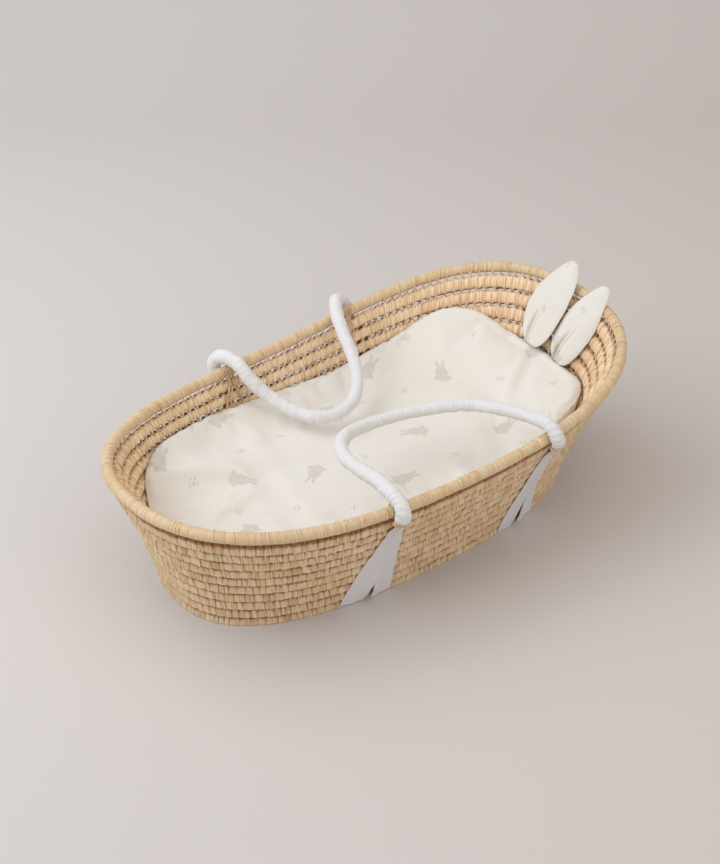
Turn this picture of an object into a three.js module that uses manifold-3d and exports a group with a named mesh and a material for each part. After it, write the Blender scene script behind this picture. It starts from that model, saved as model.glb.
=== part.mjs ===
// A palm-braid Moses basket with a fitted mattress, two padded carrying handles and a pair of
// stuffed fabric ears. Millimetres, +Z up, +X towards the head end, -Y the front side.
// The wall is one palm braid wound upwards in the real object; here every turn is its own ring.
import * as THREE from "three";
import { mergeVertices } from "three/addons/utils/BufferGeometryUtils.js";
import Module from "manifold-3d";

// ---------- driving dimensions ----------
// rim roll centreline, a super-ellipse that is fuller at the head end and slightly waisted
const RIM = { a: 410.1, b: 244.04, n: 2.283, k: 0.0743, pin: 0.0694, cx: 0, f: [-0.0104, -0.0108, 0.001] };
// outer edge of the base on the floor
const FOOT = { a: 348.5, b: 168.3, n: 2.445, k: -0.0195, pin: -0.0068, cx: -4.6, f: [-0.00624, -0.00648, 0.0006] };
const RIM_Z = 188.5;          // rim centreline height at mid length
const RIM_RISE = 42.0;        // extra height at both ends
const RIM_TILT = 24.8;        // head end higher than the foot end
const RIM_R = 9.0;            // radius of the wrapped rim roll
const COURSES = 10;           // turns of braid in the wall
const WALL_T = 16.0;          // thickness of a turn
const WALL_P = 1.28;          // how late the wall flares
const TURN_GAP = 0.9;         // gap between turns
const WALL_Z0 = 2.0;          // underside of the first turn
const BASE_T = 12.0;          // thickness of the coiled base
const STRAP_T = 1.0;          // fabric strap
const STRAP_GAP = 0.7;        // strap to wall
const STRAP_BOTTOM_W = 77;    // width of a strap under the base
const STRAP_TOP_W = 19;       // width where it is tied
const HANDLE_R = 11.2;        // outside radius of a handle
const SLEEVE_T = 1.4;         // fabric sleeve
const ROPE_R = 9.2;           // rope core
const SEG = 48;               // facets round the basket
const MAT_TOP = 112;          // mattress top at its middle
const MAT_BOTTOM = 46;        // mattress underside at its middle
const MAT_SIDE = 58;          // mattress thickness at its edge
const COVER_T = 1.3;          // mattress cover
const COVER_GAP = 0.5;        // cover to core
const MAT_CLEAR = 2.2;        // cover to wall

// ---------- materials ----------
const mat = (hex, roughness) => new THREE.MeshStandardMaterial({ color: hex, roughness, metalness: 0 });
const STRAW = 0xccb08e, STRAW_RIM = 0xdcc8a8, TWINE = 0xc9ab84, WHITE = 0xe3e1df, CREAM = 0xe9e5dd, FOAM = 0xefece4;

// ---------- helpers ----------
const group = new THREE.Group();
function add(name, geometry, material) {
  const m = new THREE.Mesh(geometry, material);
  m.name = name;
  group.add(m);
  return m;
}
function ovalPoint(o, t) {
  const c = Math.cos(t), s = Math.sin(t);
  let x = Math.sign(c) * Math.pow(Math.abs(c), 2 / o.n);
  let y = Math.sign(s) * Math.pow(Math.abs(s), 2 / o.n);
  y *= (1 + o.k * x) * (1 - o.pin * (1 - x * x) ** 2);
  const g = 1 + o.f[0] * Math.cos(3 * t) + o.f[1] * Math.cos(4 * t) + o.f[2] * Math.cos(5 * t);
  return [(o.cx + o.a * x) * g, o.b * y * g];
}
// N points of an oval, moved outwards by off (negative is inwards), at the given parameters
function ovalOffset(pts, off) {
  const n = pts.length;
  return pts.map((p, i) => {
    const a = pts[(i + n - 1) % n], b = pts[(i + 1) % n];
    const tx = b[0] - a[0], ty = b[1] - a[1], l = Math.hypot(tx, ty) || 1;
    return [p[0] + (ty / l) * off, p[1] - (tx / l) * off];
  });
}
// parameters spaced evenly along the rim, symmetric front to rear
function evenParams(n) {
  const M = 2880, cum = [0];
  let prev = ovalPoint(RIM, 0);
  for (let i = 1; i <= M; i++) {
    const p = ovalPoint(RIM, (i / M) * 2 * Math.PI);
    cum.push(cum[i - 1] + Math.hypot(p[0] - prev[0], p[1] - prev[1]));
    prev = p;
  }
  const out = [];
  for (let j = 0, i = 0; j < n; j++) {
    const want = (j / n) * cum[M];
    while (cum[i + 1] < want) i++;
    out.push(((i + (want - cum[i]) / (cum[i + 1] - cum[i])) / M) * 2 * Math.PI);
  }
  return out;
}
const rimZ = (x) => RIM_Z + RIM_RISE * (x / RIM.a) ** 2 + RIM_TILT * (x / RIM.a);
// the wall's mid-surface at height fraction v, as a dense ring [x, y, z]
function wallRing(params, v, off = 0) {
  const w = Math.pow(v, WALL_P);
  const rim = params.map((t) => ovalPoint(RIM, t));
  const foot = ovalOffset(params.map((t) => ovalPoint(FOOT, t)), -WALL_T / 2);
  const mid = rim.map((p, i) => [foot[i][0] * (1 - w) + p[0] * w, foot[i][1] * (1 - w) + p[1] * w]);
  const moved = off ? ovalOffset(mid, off) : mid;
  return moved.map((p, i) => [p[0], p[1], WALL_Z0 + (rimZ(rim[i][0]) - WALL_Z0) * v]);
}
// closed ring solid from sections: rings[j] is the j-th corner of the section, all the way round
function ringSolid(rings) {
  const n = rings[0].length, m = rings.length, pos = [], idx = [];
  for (const r of rings) for (const p of r) pos.push(p[0], p[1], p[2]);
  for (let j = 0; j < m; j++) for (let i = 0; i < n; i++) {
    const a = j * n + i, b = j * n + ((i + 1) % n), c = ((j + 1) % m) * n + ((i + 1) % n), d = ((j + 1) % m) * n + i;
    idx.push(a, b, c, a, c, d);
  }
  return fixed(pos, idx);
}
// rings from one pole to the other, closed by a fan at each end
function poleSolid(rings, poleA, poleB) {
  const n = rings[0].length, pos = [], idx = [];
  for (const r of rings) for (const p of r) pos.push(p[0], p[1], p[2]);
  const A = pos.length / 3; pos.push(...poleA);
  const B = A + 1; pos.push(...poleB);
  for (let i = 0; i < n; i++) idx.push(A, (i + 1) % n, i);
  for (let j = 0; j + 1 < rings.length; j++) for (let i = 0; i < n; i++) {
    const a = j * n + i, b = j * n + ((i + 1) % n), c = (j + 1) * n + ((i + 1) % n), d = (j + 1) * n + i;
    idx.push(a, b, c, a, c, d);
  }
  const l = (rings.length - 1) * n;
  for (let i = 0; i < n; i++) idx.push(B, l + i, l + ((i + 1) % n));
  return fixed(pos, idx);
}
// a geometry whose faces point outwards
function fixed(pos, idx) {
  let vol = 0;
  for (let i = 0; i < idx.length; i += 3) {
    const [a, b, c] = [idx[i], idx[i + 1], idx[i + 2]].map((k) => new THREE.Vector3(pos[3 * k], pos[3 * k + 1], pos[3 * k + 2]));
    vol += a.dot(b.cross(c));
  }
  if (vol < 0) for (let i = 0; i < idx.length; i += 3) [idx[i + 1], idx[i + 2]] = [idx[i + 2], idx[i + 1]];
  const g = new THREE.BufferGeometry();
  g.setAttribute("position", new THREE.BufferAttribute(new Float32Array(pos), 3));
  g.setIndex(idx);
  g.computeVertexNormals();
  return g;
}
// a sheet of the given thickness over a grid of points with normals
function sheetSolid(grid, thickness) {
  const R = grid.length, C = grid[0].length, pos = [], idx = [];
  for (const side of [1, -1]) for (const row of grid) for (const [p, nrm] of row)
    pos.push(...p.map((c, k) => c + (side * nrm[k] * thickness) / 2));
  const top = (r, c) => r * C + c, bot = (r, c) => R * C + r * C + c;
  const quad = (a, b, c, d) => idx.push(a, b, c, a, c, d);
  for (let r = 0; r + 1 < R; r++) for (let c = 0; c + 1 < C; c++) {
    quad(top(r, c), top(r, c + 1), top(r + 1, c + 1), top(r + 1, c));
    quad(bot(r, c), bot(r + 1, c), bot(r + 1, c + 1), bot(r, c + 1));
  }
  for (let r = 0; r + 1 < R; r++) {
    quad(top(r, 0), top(r + 1, 0), bot(r + 1, 0), bot(r, 0));
    quad(top(r, C - 1), bot(r, C - 1), bot(r + 1, C - 1), top(r + 1, C - 1));
  }
  for (let c = 0; c + 1 < C; c++) {
    quad(top(0, c), bot(0, c), bot(0, c + 1), top(0, c + 1));
    quad(top(R - 1, c), top(R - 1, c + 1), bot(R - 1, c + 1), bot(R - 1, c));
  }
  return fixed(pos, idx);
}
const V = (p) => new THREE.Vector3(...p);
function circle(r, sides, hole) {
  const s = new THREE.Shape();
  for (let i = 0; i < sides; i++) {
    const a = (i / sides) * 2 * Math.PI;
    i ? s.lineTo(r * Math.cos(a), r * Math.sin(a)) : s.moveTo(r * Math.cos(a), r * Math.sin(a));
  }
  s.closePath();
  if (hole) {
    const h = new THREE.Path();
    for (let i = 0; i < sides; i++) {
      const a = (-i / sides) * 2 * Math.PI;
      i ? h.lineTo(hole * Math.cos(a), hole * Math.sin(a)) : h.moveTo(hole * Math.cos(a), hole * Math.sin(a));
    }
    h.closePath();
    s.holes.push(h);
  }
  return s;
}
function tube(points, r, sides, steps, hole) {
  const path = new THREE.CatmullRomCurve3(points.map(V), false, "centripetal");
  const g = new THREE.ExtrudeGeometry(circle(r, sides, hole), { steps, bevelEnabled: false, extrudePath: path });
  g.deleteAttribute("normal");
  g.deleteAttribute("uv");
  return mergeVertices(g, 1e-4);
}

// ---------- the coiled base, with shallow channels for the two straps ----------
const params = evenParams(SEG);
const wasm = await Module();
wasm.setup();
function toManifold(g) {
  const h = g.clone();
  h.deleteAttribute("normal");
  if (h.attributes.uv) h.deleteAttribute("uv");
  const m = mergeVertices(h, 1e-4);
  return new wasm.Manifold(new wasm.Mesh({ numProp: 3, vertProperties: m.attributes.position.array, triVerts: new Uint32Array(m.index.array) }));
}
function fromManifold(m) {
  const q = m.getMesh();
  const g = new THREE.BufferGeometry();
  g.setAttribute("position", new THREE.BufferAttribute(new Float32Array(q.vertProperties), 3));
  g.setIndex(Array.from(q.triVerts));
  g.computeVertexNormals();
  return g;
}
const STRAP_X = [-133.5, 152.0];   // centre lines of the two straps under the base
{
  const edge = ovalOffset(params.map((t) => ovalPoint(FOOT, t)), -WALL_T - 1.2);
  const lower = ovalOffset(edge, -2.5);
  const rings = [lower.map((p) => [...p, 0]), edge.map((p) => [...p, 3]), edge.map((p) => [...p, BASE_T - 2]), lower.map((p) => [...p, BASE_T])];
  let slab = toManifold(poleSolid(rings, [-4, 0, 0], [-4, 0, BASE_T]));
  for (const x of STRAP_X) {
    const box = new THREE.BoxGeometry(STRAP_BOTTOM_W + 5, 420, 4);
    box.translate(x, 0, 2 - 4 + 1.9 - 2 + 2);
    slab = slab.subtract(toManifold(box));
  }
  add("coiled_base", fromManifold(slab), mat(STRAW, 0.85));
}

// ---------- the wall: ten turns of braid and the wrapped rim roll ----------
const V_TOP = (x) => 1 - (RIM_R + 0.5) / (rimZ(x) - WALL_Z0);
function course(i) {
  const rim = params.map((t) => ovalPoint(RIM, t));
  const corner = (frac, off, dz) => {
    // frac 0..1 between the first turn's underside and the top of the last turn
    const lo = params.map((t, k) => V_TOP(rim[k][0]) * frac);
    return params.map((t, k) => {
      const p = ringAt(k, lo[k], off);
      return [p[0], p[1], p[2] + dz];
    });
  };
  const g = TURN_GAP / 2, h = WALL_T / 2, a = i / COURSES, b = (i + 1) / COURSES, m = (a + b) / 2;
  const lowOff = i === 0 ? h - 5 : h - 1.2;
  return ringSolid([
    corner(a, -h + 1.2, i === 0 ? 0 : g), corner(a, lowOff, i === 0 ? 0 : g), corner(m, h, 0),
    corner(b, h - 1.2, -g), corner(b, -h + 1.2, -g), corner(m, -h, 0),
  ]);
}
// one point of the wall at ring index k, height fraction v, outward offset off
const cache = new Map();
function ringAt(k, v, off) {
  const key = v.toFixed(6) + "/" + off;
  if (!cache.has(key)) cache.set(key, wallRing(params, v, off));
  return cache.get(key)[k];
}
for (let i = 0; i < COURSES; i++)
  add(`wall_turn_${String(i + 1).padStart(2, "0")}`, course(i), mat(i % 2 ? STRAW : 0xcfb491, 0.85));
{
  const rings = [];
  const S = 8;
  for (let j = 0; j < S; j++) {
    const a = (j / S) * 2 * Math.PI + Math.PI / S;
    rings.push(wallRing(params, 1, RIM_R * Math.cos(a)).map((p) => [p[0], p[1], p[2] + RIM_R * Math.sin(a)]));
  }
  add("rim_roll", ringSolid(rings), mat(STRAW_RIM, 0.8));
}

// ---------- wall lookup for things that lie on it ----------
const DENSE = Array.from({ length: 721 }, (_, i) => (i / 720) * 2 * Math.PI);
const denseCache = new Map();
// y and outward normal of the wall at (x, height fraction v), side -1 front or +1 rear
function onWall(x, v, side, off) {
  const key = v.toFixed(5) + "/" + off;
  if (!denseCache.has(key)) denseCache.set(key, wallRing(DENSE.slice(0, 720), v, off));
  const ring = denseCache.get(key);
  for (let i = 0; i < 720; i++) {
    const p = ring[i], q = ring[(i + 1) % 720];
    if (Math.sign(p[1] + q[1]) !== side) continue;
    if ((p[0] - x) * (q[0] - x) <= 0 && p[0] !== q[0]) {
      const f = (x - p[0]) / (q[0] - p[0]);
      const tx = q[0] - p[0], ty = q[1] - p[1], l = Math.hypot(tx, ty);
      return { y: p[1] + (q[1] - p[1]) * f, z: p[2] + (q[2] - p[2]) * f, n: [ty / l, -tx / l] };
    }
  }
  throw new Error("no wall at " + x);
}

// ---------- the two under-straps ----------
const TIE = {           // where each handle is tied, outside the wall just under the rim
  front_left: { x: -124, side: -1, v: 0.82 },
  front_right: { x: 150, side: -1, v: 0.83 },
  rear_left: { x: -119, side: 1, v: 0.82 },
  rear_right: { x: 140, side: 1, v: 0.83 },
};
function strap(xc, front, rear) {
  const cols = 5, grid = [], off = WALL_T / 2 + STRAP_GAP + STRAP_T / 2;
  const zUnder = 0.3 + STRAP_T / 2;
  const half = (v) => STRAP_TOP_W / 2 + (STRAP_BOTTOM_W - STRAP_TOP_W) / 2 * Math.pow(1 - v, 1.1);
  const side = (tie, order) => {
    const rows = [];
    const vs = [1, 0.87, 0.75, 0.63, 0.52, 0.41, 0.3, 0.2, 0.12, 0.065].map((q) => q * tie.v);
    for (const v of vs) {
      const w = 1 - v / tie.v, cx = xc + (tie.x - xc) * Math.pow(1 - w, 1.2), row = [];
      for (let c = 0; c < cols; c++) {
        const x = cx + half(v / tie.v) * ((2 * c) / (cols - 1) - 1);
        const p = onWall(x, v, tie.side, off), q = onWall(x, Math.min(v + 0.02, 1), tie.side, off);
        const slope = Math.hypot(q.y - p.y, q.z - p.z);
        row.push([[x, p.y, p.z], [0, (tie.side * (q.z - p.z)) / slope, (-Math.abs(q.y - p.y)) / slope]]);
      }
      rows.push(row);
    }
    // round the corner of the first turn and under the base
    for (const [dy, z, ny, nz] of [[0.2, 5.5, 0.9, -0.43], [3.4, 2.1, 0.55, -0.83], [7.5, zUnder, 0, -1], [40, zUnder, 0, -1]]) {
      const row = [];
      for (let c = 0; c < cols; c++) {
        const x = xc + (STRAP_BOTTOM_W / 2) * ((2 * c) / (cols - 1) - 1);
        const p = onWall(x, 0.03, tie.side, off);
        row.push([[x, p.y - tie.side * dy, z], [0, tie.side * ny, nz]]);
      }
      rows.push(row);
    }
    return order > 0 ? rows : rows.reverse();
  };
  grid.push(...side(front, 1), ...side(rear, -1));
  return sheetSolid(grid, STRAP_T);
}
add("left_under_strap", strap(STRAP_X[0], TIE.front_left, TIE.rear_left), mat(WHITE, 0.9));
add("right_under_strap", strap(STRAP_X[1], TIE.front_right, TIE.rear_right), mat(WHITE, 0.9));

// ---------- handles ----------
// each handle turns about the line through its two crowns over the rim
const REAR_PATH = [[-115, 226, 210], [-108, 205, 210], [-104, 189, 201], [-99, 176, 187], [-86, 158, 167], [-73, 138, 153], [-59, 112, 144], [-43, 87, 140.5],
  [-18, 75, 140], [11, 75, 143], [34, 86, 150], [53, 105, 160], [64, 125, 173], [72, 150, 189], [80, 182, 205], [92, 212, 219], [110, 238, 223.5]];
const FRONT_PATH = [[-128, -222, 209], [-129, -205, 213], [-127, -180, 213.5], [-126, -146, 209], [-122, -106, 203], [-110, -73, 198], [-97, -56, 195], [-78, -42, 192], [-55, -36, 190],
  [-14, -36, 189], [29, -47, 190], [72, -69, 194], [104, -95, 199], [122, -134, 207], [131, -173, 216], [134, -209, 223], [136, -232, 224]];
for (const [name, path] of [["rear_handle", REAR_PATH], ["front_handle", FRONT_PATH]]) {
  add(`${name}_sleeve`, tube(path, HANDLE_R, 10, 26, HANDLE_R - SLEEVE_T), mat(WHITE, 0.9));
  add(`${name}_rope`, tube(path, ROPE_R, 8, 26), mat(0xd8d2c6, 0.9));
}
// the fixed neck of each handle, from the tie up the outside of the rim to its crown
const NECKS = {
  front_left: [[-124, -230.5, 160.5], [-124, -230.8, 166], [-127, -236, 184], [-128, -238, 194]],
  front_right: [[150, -239.5, 177], [150, -240, 182], [146, -249.5, 198], [141, -249.5, 208]],
  rear_left: [[-119, 231.5, 160.5], [-119, 232, 166], [-122, 238.5, 184], [-120, 239, 194]],
  rear_right: [[140, 240.5, 176], [140, 241, 181], [138, 250.5, 198], [130, 251, 209]],
};
for (const [name, path] of Object.entries(NECKS)) add(`${name}_handle_neck`, tube(path, 9.6, 10, 6), mat(WHITE, 0.9));
// raffia ties round the neck's lower end, and their lashing on the inside of the wall
for (const [name, t] of Object.entries(TIE)) {
  const w = onWall(t.x, t.v, t.side, WALL_T / 2);
  const g = new THREE.TorusGeometry(10.6, 1.3, 5, 14);
  g.scale(1, 0.42, 1.6);
  g.deleteAttribute("normal"); g.deleteAttribute("uv");
  const m = mergeVertices(g, 1e-4);
  m.translate(t.x, w.y + t.side * 6.4, w.z + 3.6);
  add(`${name}_tie`, m, mat(TWINE, 0.9));
  const rows = [];
  for (let r = 0; r < 5; r++) {
    const v = t.v + 0.03 - r * 0.075, row = [];
    for (let c = 0; c < 3; c++) {
      const x = t.x + (c - 1) * 5 - t.side * 0 + (r - 2) * 1.5;
      const q = onWall(x, v, t.side, -(WALL_T / 2 + 1.1));
      row.push([[x, q.y, q.z], [0, -t.side, 0]]);
    }
    rows.push(row);
  }
  add(`${name}_lashing`, sheetSolid(rows, 1.4), mat(TWINE, 0.9));
}

// ---------- mattress and its cover ----------
// height of the mattress's top edge round the basket: rear side, then the head end, then the front side
const EDGE_REAR = [[-420, 100], [-345, 101], [-333, 114], [-323, 130], [-310, 140], [-290, 146], [-270, 152], [-250, 153], [-216, 149], [-176, 147], [-128, 142], [-52, 136], [5, 133],
  [64, 132], [115, 140], [150, 147], [184, 154], [223, 170], [250, 181], [275, 184], [298, 183], [325, 176], [341, 164], [353, 154], [420, 147]];
const EDGE_FRONT = [[-420, 100], [-345, 104], [-300, 118], [-242, 128], [-127, 130], [5, 127], [107, 129], [185, 134], [261, 139], [307, 146], [325, 151], [341, 154], [356, 147], [420, 147]];
const lerp = (tab, x) => {
  if (x <= tab[0][0]) return tab[0][1];
  for (let i = 1; i < tab.length; i++) if (x <= tab[i][0])
    return tab[i - 1][1] + (tab[i][1] - tab[i - 1][1]) * ((x - tab[i - 1][0]) / (tab[i][0] - tab[i - 1][0]));
  return tab[tab.length - 1][1];
};
const MP = evenParams(44);
// inside face of the wall at parameter index and height z
const innerCache = new Map();
function innerAt(k, z, clear) {
  const rim = ovalPoint(RIM, MP[k]);
  const v = Math.max(0.02, Math.min(1, (z - WALL_Z0) / (rimZ(rim[0]) - WALL_Z0)));
  const key = v.toFixed(4) + "/" + clear;
  if (!innerCache.has(key)) innerCache.set(key, wallRing(MP, v, -(WALL_T / 2 + clear)));
  return innerCache.get(key)[k];
}
const edgeZ = MP.map((t) => {
  const p = ovalPoint(RIM, t), x = p[0] * 0.9;
  const s = Math.max(-1, Math.min(1, p[1] / 60));
  return lerp(EDGE_REAR, x) * (0.5 + s / 2) + lerp(EDGE_FRONT, x) * (0.5 - s / 2);
});
// skin: how far inside the cover's outer face the surface lies
function padRings(skin, startFrac) {
  const rings = [], R = 12, C = [-2, 0];
  const bottom = (f) => MP.map((t, k) => {
    const zb = edgeZ[k] - MAT_SIDE, p = innerAt(k, zb, MAT_CLEAR + 10 + skin);
    return [C[0] + (p[0] - C[0]) * f, C[1] + (p[1] - C[1]) * f, MAT_BOTTOM + skin + (zb - MAT_BOTTOM) * f ** 2];
  });
  for (const f of startFrac) rings.push(bottom(f));
  rings.push(MP.map((t, k) => { const z = edgeZ[k] - MAT_SIDE + 12; return [...innerAt(k, z, MAT_CLEAR + skin).slice(0, 2), z]; }));
  rings.push(MP.map((t, k) => { const z = edgeZ[k] - R; return [...innerAt(k, z, MAT_CLEAR + skin).slice(0, 2), z]; }));
  rings.push(MP.map((t, k) => { const z = edgeZ[k] - R * 0.35; return [...innerAt(k, z, MAT_CLEAR + R * 0.25 + skin).slice(0, 2), z - skin * 0.7]; }));
  rings.push(MP.map((t, k) => { const z = edgeZ[k]; return [...innerAt(k, z, MAT_CLEAR + R * 1.05 + skin * 0.4).slice(0, 2), z - skin]; }));
  for (const f of [0.84, 0.62, 0.34]) rings.push(MP.map((t, k) => {
    const e = innerAt(k, edgeZ[k], MAT_CLEAR + R);
    const q = Math.pow(f, 2.4);
    return [C[0] + (e[0] - C[0]) * f, C[1] + (e[1] - C[1]) * f, MAT_TOP - skin + (edgeZ[k] - MAT_TOP) * q];
  }));
  return rings;
}
{
  const skin = COVER_T + COVER_GAP;
  const core = padRings(skin, [0.5, 0.9]);
  add("mattress", poleSolid(core, [-2, 0, MAT_BOTTOM + skin], [-2, 0, MAT_TOP - skin]), mat(FOAM, 0.95));
  // the cover is a sock with its opening underneath
  const outer = padRings(0, [0.5, 0.9]), inner = padRings(COVER_T, [0.5, 0.9]);
  const n = MP.length, pos = [], idx = [];
  for (const r of [...outer, ...inner]) for (const p of r) pos.push(...p);
  const K = outer.length, A = pos.length / 3;
  pos.push(-2, 0, MAT_TOP, -2, 0, MAT_TOP - COVER_T);
  const put = (base, flip) => {
    for (let j = 0; j + 1 < K; j++) for (let i = 0; i < n; i++) {
      const a = (base + j) * n + i, b = (base + j) * n + ((i + 1) % n), c = (base + j + 1) * n + ((i + 1) % n), d = (base + j + 1) * n + i;
      flip ? idx.push(a, c, b, a, d, c) : idx.push(a, b, c, a, c, d);
    }
    const l = (base + K - 1) * n, pole = flip ? A + 1 : A;
    for (let i = 0; i < n; i++) flip ? idx.push(pole, l + ((i + 1) % n), l + i) : idx.push(pole, l + i, l + ((i + 1) % n));
  };
  put(0, false);
  put(K, true);
  for (let i = 0; i < n; i++) {
    const a = i, b = (i + 1) % n, c = K * n + ((i + 1) % n), d = K * n + i;
    idx.push(a, c, b, a, d, c);
  }
  add("mattress_cover", fixed(pos, idx), mat(CREAM, 0.9));
}

// ---------- the two stuffed ears at the head end ----------
// rows: height up the ear, its two edges across from the base point, and its thickness
const EARS = {
  rear_ear: { base: [349, 43, 166], tip: [396, 12, 291], end: [146, -9],
    rows: [[0, 14, -31, 7], [8, 21, -36, 8], [20, 27, -40, 10], [44, 34, -42, 12], [70, 33, -42, 12], [97, 26, -39, 12], [118, 17, -34, 11], [134, 8, -25, 9], [142, 1, -18, 7]] },
  front_ear: { base: [349, -21, 162], tip: [393, -58, 284], end: [142, -14],
    rows: [[0, 13, -30, 7], [8, 16.5, -33, 8], [20, 20, -38, 10], [42, 22, -42, 12], [66, 21, -43, 12], [88, 18, -42, 12], [110, 11, -36, 11], [128, 2, -30, 9], [138, -6, -22, 7]] },
};
for (const [name, e] of Object.entries(EARS)) {
  const B = V(e.base), up = V(e.tip).sub(B).normalize();
  const across = new THREE.Vector3(0.12, 1, 0.0).projectOnPlane(up).normalize();
  const out = new THREE.Vector3().crossVectors(across, up).normalize();
  const rings = e.rows.map(([s, l, r, t]) => {
    const ring = [];
    for (let i = 0; i < 12; i++) {
      const a = (i / 12) * 2 * Math.PI;
      const p = B.clone().addScaledVector(up, s).addScaledVector(across, (l + r) / 2 + (Math.cos(a) * (l - r)) / 2).addScaledVector(out, (Math.sin(a) * t) / 2);
      ring.push([p.x, p.y, p.z]);
    }
    return ring;
  });
  const first = e.rows[0];
  const foot = B.clone().addScaledVector(across, (first[1] + first[2]) / 2).addScaledVector(up, -1);
  const tip = B.clone().addScaledVector(up, e.end[0]).addScaledVector(across, e.end[1]);
  add(name, poleSolid(rings, [foot.x, foot.y, foot.z], [tip.x, tip.y, tip.z]), mat(CREAM, 0.9));
}

// ---------- origin: middle of the overall box, on the floor ----------
group.updateMatrixWorld(true);
const box = new THREE.Box3().setFromObject(group, true);
const shift = new THREE.Vector3(-(box.min.x + box.max.x) / 2, -(box.min.y + box.max.y) / 2, -box.min.z);
for (const m of group.children) m.geometry.translate(shift.x, shift.y, shift.z);

export default group;
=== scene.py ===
import math

import bpy
import numpy as np
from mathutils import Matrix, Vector


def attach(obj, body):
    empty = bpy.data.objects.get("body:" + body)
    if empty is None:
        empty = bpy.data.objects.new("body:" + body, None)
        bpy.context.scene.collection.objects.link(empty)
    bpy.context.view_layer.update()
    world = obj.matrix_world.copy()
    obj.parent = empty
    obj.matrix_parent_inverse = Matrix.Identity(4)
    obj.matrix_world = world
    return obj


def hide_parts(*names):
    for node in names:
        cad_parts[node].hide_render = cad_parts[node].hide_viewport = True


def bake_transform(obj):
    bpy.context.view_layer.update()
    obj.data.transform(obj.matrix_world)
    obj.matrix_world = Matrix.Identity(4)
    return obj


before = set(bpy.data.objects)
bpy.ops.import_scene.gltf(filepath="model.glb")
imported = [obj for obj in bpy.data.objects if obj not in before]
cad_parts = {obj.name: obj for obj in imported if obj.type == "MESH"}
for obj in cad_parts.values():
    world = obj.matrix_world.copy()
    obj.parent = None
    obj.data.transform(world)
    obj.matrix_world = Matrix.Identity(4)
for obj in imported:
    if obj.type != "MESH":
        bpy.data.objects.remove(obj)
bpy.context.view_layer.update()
MM = 0.001
# the model's origin is the middle of the overall box: the basket's own axes sit this far from it
SHIFT = np.array([3.85495, -0.65814, 0.0])

# ------------------------------------------------------------------ camera
AZ, EL, DIST = -37.133, 34.296, 2284.149
F_PX = 1486.481
_a, _e = math.radians(AZ), math.radians(EL)
BACK = np.array([math.sin(_a) * math.cos(_e), -math.cos(_a) * math.cos(_e), math.sin(_e)])
TARGET = np.array([24.285, 60.712, 100.0]) + SHIFT
cam_data = bpy.data.cameras.new("camera")
cam = bpy.data.objects.new("camera", cam_data)
bpy.context.scene.collection.objects.link(cam)
cam.location = Vector((TARGET + BACK * DIST) * MM)
cam.rotation_mode = "QUATERNION"
cam.rotation_quaternion = Vector(-BACK).to_track_quat("-Z", "Y")
cam_data.sensor_width = 36
cam_data.lens = 36 * F_PX / 864
cam_data.clip_end = 50
bpy.context.scene.camera = cam

# ------------------------------------------------------------------ the basket's shape (as in the CAD)
RIM = dict(a=410.1, b=244.04, n=2.283, k=0.0743, pin=0.0694, cx=0.0, f=(-0.0104, -0.0108, 0.001))
FOOT = dict(a=348.5, b=168.3, n=2.445, k=-0.0195, pin=-0.0068, cx=-4.6, f=(-0.00624, -0.00648, 0.0006))
RIM_Z, RIM_RISE, RIM_TILT, RIM_R = 188.5, 42.0, 24.8, 9.0
COURSES, WALL_T, WALL_P, WALL_Z0 = 10, 16.0, 1.28, 2.0


def oval(o, t):
    c, s = np.cos(t), np.sin(t)
    x = np.sign(c) * np.abs(c) ** (2 / o["n"])
    y = np.sign(s) * np.abs(s) ** (2 / o["n"])
    y = y * (1 + o["k"] * x) * (1 - o["pin"] * (1 - x * x) ** 2)
    g = 1 + o["f"][0] * np.cos(3 * t) + o["f"][1] * np.cos(4 * t) + o["f"][2] * np.cos(5 * t)
    return np.stack([(o["cx"] + o["a"] * x) * g, o["b"] * y * g], 1)


def even_params(n):
    m = 20000
    t = np.linspace(0, 2 * np.pi, m + 1)
    p = oval(RIM, t)
    cum = np.r_[0, np.cumsum(np.linalg.norm(np.diff(p, axis=0), axis=1))]
    return np.interp(np.arange(n) / n * cum[-1], cum, t)


def smooth_ring(a, r):
    """circular box smoothing of a ring of values"""
    if r < 1:
        return a
    k = np.ones(2 * r + 1) / (2 * r + 1)
    pad = np.concatenate([a[-r:], a, a[:r]])
    if a.ndim == 1:
        return np.convolve(pad, k, "valid")
    return np.stack([np.convolve(pad[:, i], k, "valid") for i in range(a.shape[1])], 1)


def offset2(p, off):
    t = np.roll(p, -1, 0) - np.roll(p, 1, 0)
    t /= np.linalg.norm(t, axis=1)[:, None] + 1e-12
    return p + np.stack([t[:, 1], -t[:, 0]], 1) * off


def rim_z(x):
    return RIM_Z + RIM_RISE * (x / RIM["a"]) ** 2 + RIM_TILT * (x / RIM["a"])


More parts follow.
